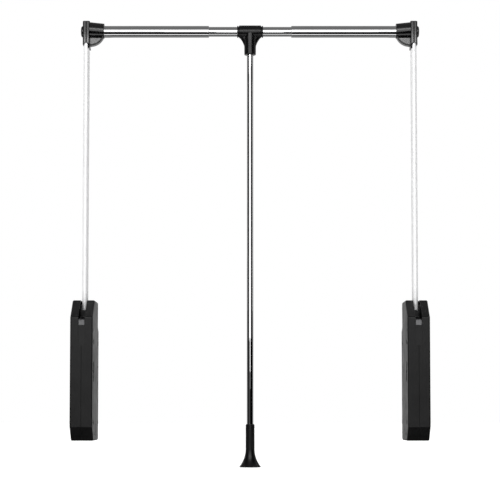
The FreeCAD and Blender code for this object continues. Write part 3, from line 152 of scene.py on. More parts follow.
def empty_material(name):
    """A material with no nodes yet, and its node tree."""
    material = bpy.data.materials.new(name)
    material.use_nodes = True
    material.node_tree.nodes.clear()
    return material, material.node_tree


floor = plane("floor", (-FLOOR_REACH, -FLOOR_REACH, FLOOR_Z),
              (2 * FLOOR_REACH, 0, 0), (0, 2 * FLOOR_REACH, 0))
paper, tree = empty_material("pale_floor")
matt = add_node(tree, "ShaderNodeBsdfDiffuse")
shine = add_node(tree, "ShaderNodeEmission")
both = add_node(tree, "ShaderNodeAddShader")
out = add_node(tree, "ShaderNodeOutputMaterial")
level = add_node(tree, "ShaderNodeMath", operation="MULTIPLY")
matt.inputs["Color"].default_value = (FLOOR_PALE, FLOOR_PALE, FLOOR_PALE, 1)
level.inputs[1].default_value = FLOOR_LIFT
link(tree, seen_or_mirrored(tree), level.inputs[0])
link(tree, level.outputs[0], shine.inputs["Strength"])
link(tree, matt.outputs[0], both.inputs[0])
link(tree, shine.outputs[0], both.inputs[1])
link(tree, both.outputs[0], out.inputs["Surface"])
floor.data.materials.append(paper)

# The cards. A bright softbox in front of the object, and black, grey and white sheets round it, all
# of them hung where only mirrors see them, so that chrome shows the dark and light lines it needs.
CARD_GAP = 0.01
OVERLAY = 0.002
CEILING_Z = 2.90
CEILING_HALF = 2.6
FLOOR_CARD_Z = FLOOR_Z + CARD_GAP
FLOOR_CARD_HALF = 1.8
MIDDLE_CARD_HALF = 0.112
FRONT_Y, BACK_Y = -2.35, 2.5
BEFORE_FRONT, BEFORE_BACK = FRONT_Y + CARD_GAP, BACK_Y - CARD_GAP
FRONT_LEFT, FRONT_RIGHT = -1.5, 1.15
LEFT_X, RIGHT_X = -1.75, 1.65
LEFT_TURN_Y, RIGHT_TURN_Y = -0.10, -0.25
SIDE_CARD_END = 0.70
SOFTBOX_LOW, SOFTBOX_HIGH = 0.20, 2.02
SOFTBOX_CORE = (1.20, 1.36)
TAIL_LEFT, TAIL_RIGHT = -0.30, 0.45
TAIL_LOW, TIP_LOW = 0.08, 0.02
SLIT_HALF = 0.12
SLIT_HIGH = -0.14
FLAG_IN, FLAG_OUT = 0.5, 1.65
FLAG_HIGH = 0.50
STRIP_NEAR, STRIP_FAR = -0.59, -0.27
MIDDLE_STRIP_NEAR = -0.44
NEAR_FLAG_END = 0.13
BACK_FLOOR_END = 2.77
CEILING_END = 5.65
CEILING_FLAG_NEAR, CEILING_FLAG_FAR = -1.05, -0.80
# Upright cards: name, x and y of one end and of the other, low and high, brightness.
UPRIGHT_CARDS = [
    ("softbox", (FRONT_LEFT, FRONT_Y), (FRONT_RIGHT, FRONT_Y), SOFTBOX_LOW, SOFTBOX_HIGH, 1.3),
    ("softbox_core", (FRONT_LEFT, BEFORE_FRONT), (FRONT_RIGHT, BEFORE_FRONT), *SOFTBOX_CORE, 5.0),
    ("softbox_tail", (TAIL_LEFT, BEFORE_FRONT), (TAIL_RIGHT, BEFORE_FRONT), TAIL_LOW, SOFTBOX_LOW, 1.5),
    ("softbox_tip", (TAIL_LEFT, BEFORE_FRONT), (TAIL_RIGHT, BEFORE_FRONT), TIP_LOW, TAIL_LOW, 0.3),
    ("lamp_slit_foot", (-SLIT_HALF, BEFORE_FRONT), (SLIT_HALF, BEFORE_FRONT), FLOOR_Z, SLIT_HIGH, 3.5),
    ("flag_under_softbox", (0, FRONT_Y), (FRONT_RIGHT, FRONT_Y), FLOOR_Z, SOFTBOX_LOW, 0.0),
    ("grey_under_softbox", (FRONT_LEFT, FRONT_Y), (0, FRONT_Y), FLOOR_Z, SOFTBOX_LOW, 0.07),
    ("flag_over_softbox", (FRONT_LEFT, FRONT_Y), (FRONT_RIGHT, FRONT_Y), SOFTBOX_HIGH, CEILING_Z, 0.14),
    ("right_flag", (FRONT_RIGHT, FRONT_Y), (RIGHT_X, RIGHT_TURN_Y), FLOOR_Z, CEILING_Z, 0.0),
    ("right_side_card", (RIGHT_X, RIGHT_TURN_Y), (RIGHT_X, SIDE_CARD_END), FLOOR_Z, CEILING_Z, 0.4),
    ("right_grey", (RIGHT_X, SIDE_CARD_END), (RIGHT_X, BACK_Y), FLOOR_Z, CEILING_Z, 0.2),
    ("left_flag", (FRONT_LEFT, FRONT_Y), (LEFT_X, LEFT_TURN_Y), FLOOR_Z, CEILING_Z, 0.02),
    ("left_side_card", (LEFT_X, LEFT_TURN_Y), (LEFT_X, SIDE_CARD_END), FLOOR_Z, CEILING_Z, 0.22),
    ("left_grey", (LEFT_X, SIDE_CARD_END), (LEFT_X, BACK_Y), FLOOR_Z, CEILING_Z, 0.2),
    ("back_card", (LEFT_X, BACK_Y), (RIGHT_X, BACK_Y), FLOOR_Z, CEILING_Z, 0.65),
    ("back_flag_left", (-FLAG_OUT, BEFORE_BACK), (-FLAG_IN, BEFORE_BACK), FLOOR_Z, FLAG_HIGH, 0.0),
    ("back_flag_right", (FLAG_IN, BEFORE_BACK), (FLAG_OUT, BEFORE_BACK), FLOOR_Z, FLAG_HIGH, 0.0),
]
# Level cards: name, half of their width, near and far y, height, brightness.
LEVEL_CARDS = [
    ("front_floor_flag", FLOOR_CARD_HALF, FRONT_Y, STRIP_NEAR, FLOOR_CARD_Z, 0.0),
    ("floor_strip", FLOOR_CARD_HALF, STRIP_NEAR, STRIP_FAR, FLOOR_CARD_Z, 1.05),
    ("near_floor_flag", FLOOR_CARD_HALF, STRIP_FAR, NEAR_FLAG_END, FLOOR_CARD_Z, 0.02),
    ("back_floor_card", FLOOR_CARD_HALF, NEAR_FLAG_END, BACK_FLOOR_END, FLOOR_CARD_Z, 0.2),
    ("middle_floor_flag", MIDDLE_CARD_HALF, STRIP_NEAR, MIDDLE_STRIP_NEAR, FLOOR_CARD_Z + OVERLAY, 0.0),
    ("middle_floor_strip", MIDDLE_CARD_HALF, MIDDLE_STRIP_NEAR, STRIP_FAR, FLOOR_CARD_Z + OVERLAY, 1.75),
    ("ceiling_card", CEILING_HALF, FRONT_Y, CEILING_END, CEILING_Z, 0.18),
    ("ceiling_flag", CEILING_HALF, CEILING_FLAG_NEAR, CEILING_FLAG_FAR, CEILING_Z - CARD_GAP, 0.07),
]
middle_x = (cad_box[0][0] + cad_box[1][0]) / 2


def hang_card(name, corner, side_a, side_b, brightness):
    """A card that glows evenly and that only mirrors see. Its corner's x counts from the rail's middle."""
    card = plane(name, (middle_x + corner[0], *corner[1:]), side_a, side_b)
    tone, tree = empty_material(name)
    shine = add_node(tree, "ShaderNodeEmission")
    shine.inputs["Strength"].default_value = brightness
    out = add_node(tree, "ShaderNodeOutputMaterial")
    link(tree, shine.outputs[0], out.inputs["Surface"])
    card.data.materials.append(tone)
    card.visible_camera = False
    card.visible_diffuse = False
    card.visible_transmission = False
    card.visible_shadow = False


for name, start, end, low, high, brightness in UPRIGHT_CARDS:
    along = (end[0] - start[0], end[1] - start[1], 0)
    hang_card(name, (*start, low), along, (0, 0, high - low), brightness)
for name, half, near, far, height, brightness in LEVEL_CARDS:
    hang_card(name, (-half, near, height), (2 * half, 0, 0), (0, far - near, 0), brightness)

# The lamps. Two very broad suns stand for lamps that shine through the tent, a strong one from the
# left in front and a weak one from the right behind. Mirrors don't show them.
# Name, direction to the lamp, strength, width in degrees.
SUNS = [
    ("key_sun", (-0.35, -0.75, 0.62), 2.4, 50),
    ("back_sun", (0.5, 0.8, 0.5), 0.5, 60),
]
for name, towards, strength, width in SUNS:
    light = bpy.data.lights.new(name, "SUN")
    light.energy = strength
    light.angle = math.radians(width)
    lamp = bpy.data.objects.new(name, light)
    bpy.context.scene.collection.objects.link(lamp)
    aim = np.array(towards) / np.linalg.norm(towards)
    lamp.rotation_euler = (math.acos(aim[2]), 0, math.atan2(aim[1], aim[0]) + math.pi / 2)
    lamp.visible_glossy = False

# The camera. It stands 3.3 m before the rail at the height of the housings, looks slightly up, and
# has its lens shifted up, so that uprights stay nearly upright.
GAZE_Z = -0.0598
DISTANCE = 3.2937
SIDE_STEP = 0.0002
FOCAL_PIXELS = 1625.7
IMAGE_PIXELS = 500.0
FILM_WIDTH = 36.0
PITCH = math.radians(3.591)
SHIFT_UP = 0.12
sight = bpy.data.cameras.new("camera")
sight.sensor_width = FILM_WIDTH
sight.lens = FOCAL_PIXELS / IMAGE_PIXELS * FILM_WIDTH
sight.shift_y = SHIFT_UP
camera = bpy.data.objects.new("camera", sight)
bpy.context.scene.collection.objects.link(camera)
camera.location = (middle_x - SIDE_STEP, -DISTANCE, GAZE_Z)
camera.rotation_euler = (math.pi / 2 + PITCH, 0, 0)
bpy.context.scene.camera = camera
bpy.context.scene.view_settings.view_transform = "Standard"

# The housings. Each is a case of two halves, injection-moulded in black plastic with a fine satin
# grain and screwed together down the middle. The halves keep their shape and get smooth rounds.
CASE_GREY = (0.005, 0.005, 0.0052)
TINT_CELLS = 38.0
TINT_DETAIL = 5.0
GRAIN_DETAIL = 3.0
GRAIN_WEIGHT = 0.6
NOISE_LOW, NOISE_HIGH = 0.3, 0.7
MERGE_WITHIN = 1e-6
FLAT_WITHIN = math.radians(0.3)
ROUND_WITHIN = math.radians(21)
nodes = frame["nodes"]


def add_noise(tree, vector, cells, detail, weight=0.5):
    """A noise with so many cells per metre, and finer layers of the given number and weight."""
    noise = add_node(tree, "ShaderNodeTexNoise")
    noise.inputs["Scale"].default_value = cells
    noise.inputs["Detail"].default_value = detail
    noise.inputs["Roughness"].default_value = weight
    link(tree, vector, noise.inputs["Vector"])
    return noise.outputs["Fac"]


def vary_colour(tree, noise, low, high):
    """The colour runs evenly from low to high while the noise rises through its middle range."""
    ramp = add_node(tree, "ShaderNodeValToRGB")
    for stop, position, colour in zip(ramp.color_ramp.elements, (NOISE_LOW, NOISE_HIGH), (low, high)):
        stop.position = position
        stop.color = (*colour, 1)
    link(tree, noise, ramp.inputs["Fac"])
    link(tree, ramp.outputs["Color"], tree.nodes["Principled BSDF"].inputs["Base Color"])


def vary_roughness(tree, noise, rough, swing):
    """The roughness runs evenly from rough - swing to rough + swing while the noise rises."""
    spread = add_node(tree, "ShaderNodeMapRange")
    spread.inputs["From Min"].default_value = NOISE_LOW
    spread.inputs["From Max"].default_value = NOISE_HIGH
    spread.inputs["To Min"].default_value = rough - swing
    spread.inputs["To Max"].default_value = rough + swing
    link(tree, noise, spread.inputs["Value"])
    link(tree, spread.outputs["Result"], tree.nodes["Principled BSDF"].inputs["Roughness"])


def raise_grain(tree, noise, depth):
    """The surface rises by the noise times the depth, in the shading alone."""
    bump = add_node(tree, "ShaderNodeBump")
    bump.inputs["Strength"].default_value = 1.0
    bump.inputs["Distance"].default_value = depth
    link(tree, noise, bump.inputs["Height"])
    link(tree, bump.outputs["Normal"], tree.nodes["Principled BSDF"].inputs["Normal"])


def moulded(name, colour, rough, rough_swing, grain, grain_depth, mottle, gloss=0.5):
    """A plastic, rubber or painted finish. One slow noise varies the colour by the share mottle and the
    roughness by its swing, and a fine noise of grain cells per metre lifts the surface."""
    material = bpy.data.materials.new(name)
    material.use_nodes = True
    tree = material.node_tree
    tree.nodes["Principled BSDF"].inputs["Specular IOR Level"].default_value = gloss
    place = add_node(tree, "ShaderNodeTexCoord").outputs["Object"]
    slow = add_noise(tree, place, TINT_CELLS, TINT_DETAIL)
    fine = add_noise(tree, place, grain, GRAIN_DETAIL, GRAIN_WEIGHT)
    vary_colour(tree, slow, [c * (1 - mottle) for c in colour], [c * (1 + mottle) for c in colour])
    vary_roughness(tree, slow, rough, rough_swing)
    raise_grain(tree, fine, grain_depth)
    return material


def finished_copy(node, material):
    """The node's own shape with its corners merged, so that rounds shade smoothly and flats stay flat."""
    mesh = nodes[node].data.copy()
    mesh.name = f"{node}_shape"
    form = bmesh.new()
    form.from_mesh(mesh)
    bmesh.ops.remove_doubles(form, verts=form.verts, dist=MERGE_WITHIN)
    bmesh.ops.dissolve_limit(form, angle_limit=FLAT_WITHIN, verts=form.verts, edges=form.edges)
    form.to_mesh(mesh)
    form.free()
    mesh.polygons.foreach_set("use_smooth", np.ones(len(mesh.polygons), bool))
    mesh.set_sharp_from_angle(angle=ROUND_WITHIN)
    mesh.materials.clear()
    mesh.materials.append(material)
    item = bpy.data.objects.new(f"{node}_piece", mesh)
    bpy.context.scene.collection.objects.link(item)
    even = item.modifiers.new("even_normals", "WEIGHTED_NORMAL")
    even.keep_sharp = True
    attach(item, nodes[node]["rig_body"])
    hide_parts(node)
    return item


case_finish = moulded("case_satin", CASE_GREY, rough=0.36, rough_swing=0.05, grain=2200,
                      grain_depth=0.00004, mottle=0.12, gloss=0.4)
# Finishes by the slot that they fill, for the frame's own nodes in the last section.
finishes = {"case_plastic": case_finish}
for side in ("left", "right"):
    for half in ("housing_base", "housing_cover"):
        finished_copy(f"{side}_{half}", case_finish)

# The slots' bumpers. Each is a small block of grey rubber, pressed onto the sill of the slot, where
# the lowered arm comes to rest.
BUMPER_GREY = (0.11, 0.11, 0.113)
rubber = moulded("grey_rubber", BUMPER_GREY, rough=0.62, rough_swing=0.06, grain=1400,
                 grain_depth=0.00005, mottle=0.1)
finishes["bumper_rubber"] = rubber
for side in ("left", "right"):
    finished_copy(f"{side}_slot_bumper", rubber)

# The arms. Each is a flat oval steel tube, drawn, cut to length, deburred at its ends, brushed
# lengthways and plated satin. It is pinned on its carrier below and screwed to its connector above.
SATIN_WHITE = (0.93, 0.93, 0.935)
STREAK_DETAIL = 4.0
TARNISH_CELLS = 30.0
TARNISH_DETAIL = 2.0
TARNISH_SHARE = 0.95
RING_POINTS = 96
SINE_DIGITS = 9
SHARP_TURN = math.radians(38)
ARM_WALL = 0.0012
ARM_EDGE = 0.0003
ARM_HOLD = 0.002


def metal(name, colour, rough, rough_swing, streak, stretch, depth, metallic=1.0):
    """A metal finish. A noise of streak cells per metre, its axes scaled by the stretch, varies the
    roughness and scratches the surface to the depth, and a slow noise darkens the colour a little."""
    material = bpy.data.materials.new(name)
    material.use_nodes = True
    tree = material.node_tree
    tree.nodes["Principled BSDF"].inputs["Metallic"].default_value = metallic
    place = add_node(tree, "ShaderNodeTexCoord").outputs["Object"]
    turn = add_node(tree, "ShaderNodeMapping")
    turn.inputs["Scale"].default_value = stretch
    link(tree, place, turn.inputs["Vector"])
    lines = add_noise(tree, turn.outputs["Vector"], streak, STREAK_DETAIL)
    slow = add_noise(tree, place, TARNISH_CELLS, TARNISH_DETAIL)
    vary_colour(tree, slow, [c * TARNISH_SHARE for c in colour], colour)
    vary_roughness(tree, lines, rough, rough_swing)
    raise_grain(tree, lines, depth)
    return material


def points(x, y, z):
    """Points from their coordinates, each of which may be given once, per row or per point."""
    return np.stack(np.broadcast_arrays(x, y, z), axis=-1)


def ring(around=RING_POINTS):
    """Angles of a ring's points, once round in even steps."""
    return np.linspace(0, 2 * math.pi, around, endpoint=False)


def grid_faces(rows, closed_rows, start):
    """Points and faces of a grid, rows x round x 3. Each row is a closed ring, joined to the next. The
    last ring is joined to the first, or both end rings are closed by a fan to their centre. The faces
    count their points from start."""
    count, around = rows.shape[:2]
    index = np.arange(start, start + count * around).reshape(count, around)
    upper = np.roll(index, -1, axis=0) if closed_rows else index[1:]
    lower = index if closed_rows else index[:-1]
    quads = np.stack([lower, np.roll(lower, -1, axis=1), np.roll(upper, -1, axis=1), upper], axis=-1)
    corners = rows.reshape(-1, 3)
    faces = quads.reshape(-1, 4).tolist()
    if not closed_rows:
        first = np.full(around, start + len(corners))
        corners = np.concatenate([corners, rows[[0, -1]].mean(axis=1)])
        faces += np.stack([first, np.roll(index[0], -1), index[0]], axis=-1).tolist()
        faces += np.stack([first + 1, index[-1], np.roll(index[-1], -1)], axis=-1).tolist()
    return corners, faces


def surface_piece(name, surfaces, material, body, stands_for, sharp_turn=SHARP_TURN):
    """One piece from one or more grids, each with a flag: whether its last ring joins its first."""
    corners = np.empty((0, 3))
    faces = []
    for rows, closed_rows in surfaces:
        more_corners, more_faces = grid_faces(rows, closed_rows, len(corners))
        corners = np.concatenate([corners, more_corners])
        faces += more_faces
    mesh = bpy.data.meshes.new(name)
    mesh.from_pydata(corners.tolist(), [], faces)
    form = bmesh.new()
    form.from_mesh(mesh)
    bmesh.ops.recalc_face_normals(form, faces=form.faces)
    form.to_mesh(mesh)
    form.free()
    mesh.polygons.foreach_set("use_smooth", np.ones(len(mesh.polygons), bool))
    mesh.set_sharp_from_angle(angle=sharp_turn)
    mesh.materials.append(material)
    item = bpy.data.objects.new(name, mesh)
    bpy.context.scene.collection.objects.link(item)
    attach(item, body)
    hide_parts(*stands_for)
    return item


def arm_rows(low, high):
    """Rings up the outside of the tube and down its bore. Each is a flat oval: half circles of the tube's
    half width less the ring's inset, moved apart along Y by its straight sides. The ends are broken by a
    small edge, and rings a little way in hold the shading of the long sides level."""
    centre = (low + high) / 2
    half_wide, half_deep = (high.x - low.x) / 2, (high.y - low.y) / 2
    rings = np.array([
        (ARM_EDGE, low.z), (0, low.z + ARM_EDGE), (0, low.z + ARM_HOLD),
        (0, high.z - ARM_HOLD), (0, high.z - ARM_EDGE), (ARM_EDGE, high.z),
        (ARM_WALL - ARM_EDGE, high.z), (ARM_WALL, high.z - ARM_EDGE),
        (ARM_WALL, low.z + ARM_EDGE), (ARM_WALL - ARM_EDGE, low.z)])
    inset, height = rings.T[:, :, None]
    turns = ring()
    radius = half_wide - inset
    apart = (half_deep - half_wide) * np.sign(np.round(np.sin(turns), SINE_DIGITS))
    return points(centre.x + radius * np.cos(turns), centre.y + radius * np.sin(turns) + apart, height)


satin = metal("satin_plate", SATIN_WHITE, rough=0.42, rough_swing=0.04, streak=900,
              stretch=(1, 1, 0.02), depth=0.000004, metallic=0.3)
finishes["satin_tube"] = satin
for side in ("left", "right"):
    rows = arm_rows(*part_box(f"{side}_arm_tube"))
    surface_piece(f"{side}_arm_piece", [(rows, True)], satin, f"{side}_arm_frame",
                  [f"{side}_arm_tube"])

# The rail. Two outer tubes slide over a thinner centre tube. All are welded steel tubes with bright
# chrome plate, their cut ends rounded over.
CHROME = (0.90, 0.905, 0.91)
OUTER_TUBE_WALL = 0.0010
OUTER_TUBE_LIP = 0.0005
THIN_TUBE_WALL = 0.0012
THIN_TUBE_LIP = 0.0004
LIP_STEPS = 5
HOLD_LIPS = 4


def turned_rows(profile, axis, centre, around=RING_POINTS):
    """Each point of the profile, its reach along the axis and its radius, goes once round the axis."""
    reach, radius = np.array(profile, float).T[:, :, None]
    angles = ring(around)
    across = radius * np.cos(angles)
    up = radius * np.sin(angles)
    if axis == "x":
        return points(reach, centre[1] + across, centre[2] + up)
    return points(centre[0] + across, centre[1] + up, reach)


def tube_profile(start, end, outside, wall, lip):
    """Half section of a tube whose mouths are rounded by quarter circles of the lip's radius. Points a
    few lips in from each mouth hold the shading of the long straight part level."""
    turn = np.linspace(0, math.pi / 2, LIP_STEPS)
    inside = outside - wall
    hold = HOLD_LIPS * lip
    near = np.stack([start + lip - lip * np.cos(turn), outside - lip + lip * np.sin(turn)], axis=-1)
    far = np.stack([end - lip + lip * np.sin(turn), outside - lip + lip * np.cos(turn)], axis=-1)
    straight = [(start + hold, outside), (end - hold, outside)]
    bore = [(end, inside), (end - hold, inside), (start + hold, inside), (start, inside)]
    return np.concatenate([near, straight, far, bore])


rail_chrome = metal("bright_chrome", CHROME, rough=0.022, rough_swing=0.008, streak=420,
                    stretch=(0.05, 1, 1), depth=0.0000002)
finishes["chrome_tube"] = rail_chrome
for side in ("left", "right"):
    low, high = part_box(f"{side}_outer_rail_tube")
    profile = tube_profile(low.x, high.x, (high.z - low.z) / 2, OUTER_TUBE_WALL, OUTER_TUBE_LIP)
    surface_piece(f"{side}_outer_rail_piece", [(turned_rows(profile, "x", (low + high) / 2), True)],
                  rail_chrome, f"{side}_arm_frame", [f"{side}_outer_rail_tube"])
low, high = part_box("centre_rail_tube")
rail_middle = (low + high) / 2
profile = tube_profile(low.x, high.x, (high.z - low.z) / 2, THIN_TUBE_WALL, THIN_TUBE_LIP)
surface_piece("centre_rail_piece", [(turned_rows(profile, "x", rail_middle), True)],
              rail_chrome, "centre_rail", ["centre_rail_tube"])

# The pull rod. A thin steel tube with the same bright chrome, polished along its length. Its head is
# pinned in the tee, and its foot carries the handle.
ROD_POINTS = 72
rod_chrome = metal("bright_chrome_rod", CHROME, rough=0.022, rough_swing=0.008, streak=420,
                   stretch=(1, 1, 0.05), depth=0.0000002)
low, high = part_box("pull_rod")
profile = tube_profile(low.z, high.z, (high.x - low.x) / 2, THIN_TUBE_WALL, THIN_TUBE_LIP)
surface_piece("pull_rod_piece", [(turned_rows(profile, "z", (low + high) / 2, ROD_POINTS), True)],
              rod_chrome, "pull_rod_set", ["pull_rod"])

# The corner connectors and their caps. One black moulding joins the arm's head to the rail: a socket
# over the arm, a sleeve round the outer tube and a rimmed web between them. A round cap clips on.
BLACK = (0.002, 0.002, 0.0022)
MOULDED_EDGE = math.radians(30)
SOCKET_HALF = (0.0073, 0.0143)
SOCKET_CORNER = 0.0031
SOCKET_TOP = 0.0200
SOCKET_ROUND = 0.0015
SOCKET_POINTS = 200
OUTLINE_TURNS = 64
ROUND_STEPS = 6
BORE_HALF = (0.00555, 0.01255)
BORE_TOP = 0.0141
GROOVE_HALF = 0.0012
GROOVE_DEPTH = 0.0012
FOOT_EDGE = 0.0004
ARCH_TOP = -0.0250
ARCH_RISE = 0.00275
ARCH_POINTS = 13
LIP_INSIDE = 0.0062
OUTER_LIP = -0.0290
INNER_LIP = -0.0360
SLEEVE_START = 0.0066
SLEEVE_REACH = 0.0360
SLEEVE_RADII = (0.0170, 0.0152)
SLEEVE_LIFTS = (0.0034, 0.0014)
SLEEVE_BORE = 0.01215
SLEEVE_LIP = 0.0009
SLEEVE_POINTS = 128
WEB_RADIUS = 0.0300
WEB_TOP = -0.0110
WEB_HALF = 0.0030
WEB_STEPS = 24
RIM_HALF = (0.0015, 0.0080)
RIM_ROUND_SHARE = 0.98
RIM_OVERRUN = 0.025
RIM_STEPS = 40
RIM_POINTS = 48


def box_outline(half_x, half_y, corner, count):
    """A rounded rectangle, x and y: the quarters of a circle moved out to the four corners, and then
    points at even steps of the outline's length."""
    turns = ring(OUTLINE_TURNS) + math.pi / OUTLINE_TURNS
    x = corner * np.cos(turns) + (half_x - corner) * np.sign(np.cos(turns))
    y = corner * np.sin(turns) + (half_y - corner) * np.sign(np.sin(turns))
    closed = np.stack([np.append(x, x[0]), np.append(y, y[0])], axis=-1)
    length = np.append(0, np.cumsum(np.linalg.norm(np.diff(closed, axis=0), axis=1)))
    steps = np.linspace(0, length[-1], count, endpoint=False)
    return np.interp(steps, length, closed[:, 0]), np.interp(steps, length, closed[:, 1])


def socket_rows():
    """The arm's socket: a rounded box over the arm, its foot cut as a low arch between an outer and a
    longer inner lip, a fine groove down the middle of its front, and a blind bore for the arm. The top's
    round draws the outline in along a quarter circle."""
    x, y = box_outline(*SOCKET_HALF, SOCKET_CORNER, SOCKET_POINTS)
    groove = np.clip(1 - (x / GROOVE_HALF) ** 2, 0, 1) * (y < 0)
    y = y + GROOVE_DEPTH * groove
    arch_x = np.linspace(-BORE_HALF[0], BORE_HALF[0], ARCH_POINTS)
    arch_z = ARCH_TOP - ARCH_RISE * (arch_x / BORE_HALF[0]) ** 2
    foot_x = np.concatenate([[-SOCKET_HALF[0], -LIP_INSIDE], arch_x, [LIP_INSIDE, SOCKET_HALF[0]]])
    foot_z = np.concatenate([[OUTER_LIP, OUTER_LIP], arch_z, [INNER_LIP, INNER_LIP]])
    foot = np.interp(x, foot_x, foot_z)
    angle = np.linspace(math.pi / 2, 0, ROUND_STEPS)[:, None]
    inset = SOCKET_ROUND * (1 - np.cos(angle))
    height = SOCKET_TOP - SOCKET_ROUND * (1 - np.sin(angle))
    top = points(x * (1 - inset / SOCKET_HALF[0]), y * (1 - inset / SOCKET_HALF[1]), height)
    edge = points(x * (1 - FOOT_EDGE / SOCKET_HALF[0]), y * (1 - FOOT_EDGE / SOCKET_HALF[1]), foot)
    bore_x, bore_y = box_outline(*BORE_HALF, BORE_HALF[0], SOCKET_POINTS)
    bore = [points(bore_x, bore_y, foot), points(bore_x, bore_y, BORE_TOP)]
    return np.concatenate([top, np.stack([points(x, y, foot + FOOT_EDGE), edge, *bore])])


def sleeve_rows():
    """The rail's sleeve: a cone whose middle line drops towards its mouth, with a rounded lip and a
    bore."""
    turn = np.linspace(0, math.pi / 2, ROUND_STEPS)
    reach = np.concatenate([[SLEEVE_START], SLEEVE_REACH - SLEEVE_LIP + SLEEVE_LIP * np.sin(turn)])
    share = reach / SLEEVE_REACH
    radius = SLEEVE_RADII[0] + (SLEEVE_RADII[1] - SLEEVE_RADII[0]) * share
    radius[1:] -= SLEEVE_LIP * (1 - np.cos(turn))
    lift = SLEEVE_LIFTS[0] + (SLEEVE_LIFTS[1] - SLEEVE_LIFTS[0]) * share
    reach = np.append(reach, [SLEEVE_REACH, SLEEVE_REACH - FOOT_EDGE, SLEEVE_START])[:, None]
    radius = np.append(radius, [SLEEVE_BORE + FOOT_EDGE, SLEEVE_BORE, SLEEVE_BORE])[:, None]
    lift = np.append(lift, [0, 0, 0])[:, None]
    angles = ring(SLEEVE_POINTS)
    return points(reach, radius * np.cos(angles), lift + radius * np.sin(angles))


def web_rows():
    """The flat web: along the rail, from the sleeve down to a circle about the socket's inner side."""
    radius = WEB_RADIUS - RIM_HALF[0]
    end = SOCKET_HALF[0] + math.sqrt(radius ** 2 - WEB_TOP ** 2)
    x = SLEEVE_START + (end - SLEEVE_START) * np.sin(np.linspace(0, math.pi / 2, WEB_STEPS))
    low = -np.sqrt(radius ** 2 - (x - SOCKET_HALF[0]) ** 2)
    high = np.full_like(x, WEB_TOP + FOOT_EDGE)
    corners = [(-WEB_HALF, high), (WEB_HALF, high), (WEB_HALF, low), (-WEB_HALF, low)]
    return np.stack([points(x, y, z) for y, z in corners], axis=1)


def rim_rows():
    """The web's rounded rim: a full-round bar carried along the circle, from the sleeve to the socket."""
    across, y = box_outline(*RIM_HALF, RIM_HALF[0] * RIM_ROUND_SHARE, RIM_POINTS)
    turns = np.linspace(math.asin(-WEB_TOP / WEB_RADIUS), math.pi / 2 + RIM_OVERRUN, RIM_STEPS)[:, None]
    radius = WEB_RADIUS - RIM_HALF[0] + across
    return points(SOCKET_HALF[0] + radius * np.cos(turns), y, -radius * np.sin(turns))


moulding = moulded("black_satin", BLACK, rough=0.15, rough_swing=0.04, grain=2600, grain_depth=0.00003,
                   mottle=0.12, gloss=1.0)
finishes["black_moulding"] = moulding
for side, hand in (("left", 1), ("right", -1)):
    low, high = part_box(f"{side}_arm_tube")
    base = np.array([(low.x + high.x) / 2, rail_middle.y, rail_middle.z])
    forms = [(socket_rows(), False), (sleeve_rows(), True), (web_rows(), False), (rim_rows(), False)]
    surfaces = [(base + rows * [hand, 1, 1], closed) for rows, closed in forms]
    surface_piece(f"{side}_connector_piece", surfaces, moulding, f"{side}_arm_frame",
                  [f"{side}_corner_connector"], MOULDED_EDGE)
    finished_copy(f"{side}_connector_cap", moulding)

# The rod's tee. One black moulding: a sleeve that turns on the centre tube between two end rings, a
# round neck that takes the rod, and webs, thin at their edges, that sweep from sleeve to neck.
TEE_HALF = 0.0225
TEE_RADIUS = 0.0130
TEE_BORE = 0.01015
NECK_FOOT = -0.0480
NECK_BORE = 0.0068
TEE_WEB_SHOULDER = -0.0115
TEE_WEB_FOOT = -0.0420
TEE_WEB_FOOT_HALF = 0.0104
TEE_WEB_DEPTH = 0.0072
TEE_WEB_END = -0.0040
TEE_WEB_INSET = 0.0006
TEE_WEB_STEPS = 28
# Profiles: reach along the axis from the rail's middle line or from the tee's middle, and radius.
SHOULDER = [(0.0215, TEE_RADIUS), (0.0220, 0.0129), (0.0224, 0.0126), (TEE_HALF, 0.0121)]
RING_PROFILE = [(0.0229, 0.0109), (0.0240, 0.0109), (0.0242, 0.0119), (0.0246, 0.0121), (0.0258, 0.0121),
                (0.0264, 0.0118), (0.0265, 0.0113), (0.0265, TEE_BORE)]
NECK_PROFILE = [(NECK_FOOT, NECK_BORE), (NECK_FOOT, 0.0110), (-0.0477, 0.0115), (-0.0472, 0.0118),
                (0, 0.0125), (0, NECK_BORE)]


def tee_web_rows():
    """The webs as one blade: an ellipse at each height, whose half width falls from the sleeve's half
    length to the neck's along a circle that ends upright, while its half depth stays."""
    fall = TEE_WEB_SHOULDER - TEE_WEB_FOOT
    inward = TEE_HALF - TEE_WEB_FOOT_HALF
    sweep = (fall ** 2 + inward ** 2) / (2 * inward)
    height = np.linspace(TEE_WEB_FOOT, TEE_WEB_SHOULDER, TEE_WEB_STEPS)
    half = TEE_WEB_FOOT_HALF + sweep - np.sqrt(sweep ** 2 - (height - TEE_WEB_FOOT) ** 2)
    height = np.append(height, TEE_WEB_END)[:, None]
    half = np.append(half, TEE_HALF - TEE_WEB_INSET)[:, None]
    angles = ring()
    return points(half * np.cos(angles), TEE_WEB_DEPTH * np.sin(angles), height)


soft_moulding = moulded("black_soft_satin", BLACK, rough=0.28, rough_swing=0.04, grain=2600,
                        grain_depth=0.00003, mottle=0.12, gloss=0.55)
right_half = SHOULDER + RING_PROFILE
left_half = [(-reach, radius) for reach, radius in reversed(right_half)]
tee_middle = np.array([middle_x, rail_middle.y, rail_middle.z])
forms = [(turned_rows(left_half + right_half, "x", (0, 0, 0)), True), (tee_web_rows(), False),
         (turned_rows(NECK_PROFILE, "z", (0, 0, 0)), True)]
surface_piece("rod_tee_piece", [(tee_middle + rows, closed) for rows, closed in forms], soft_moulding,
              nodes["rod_tee"]["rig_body"], ["rod_tee"], MOULDED_EDGE)

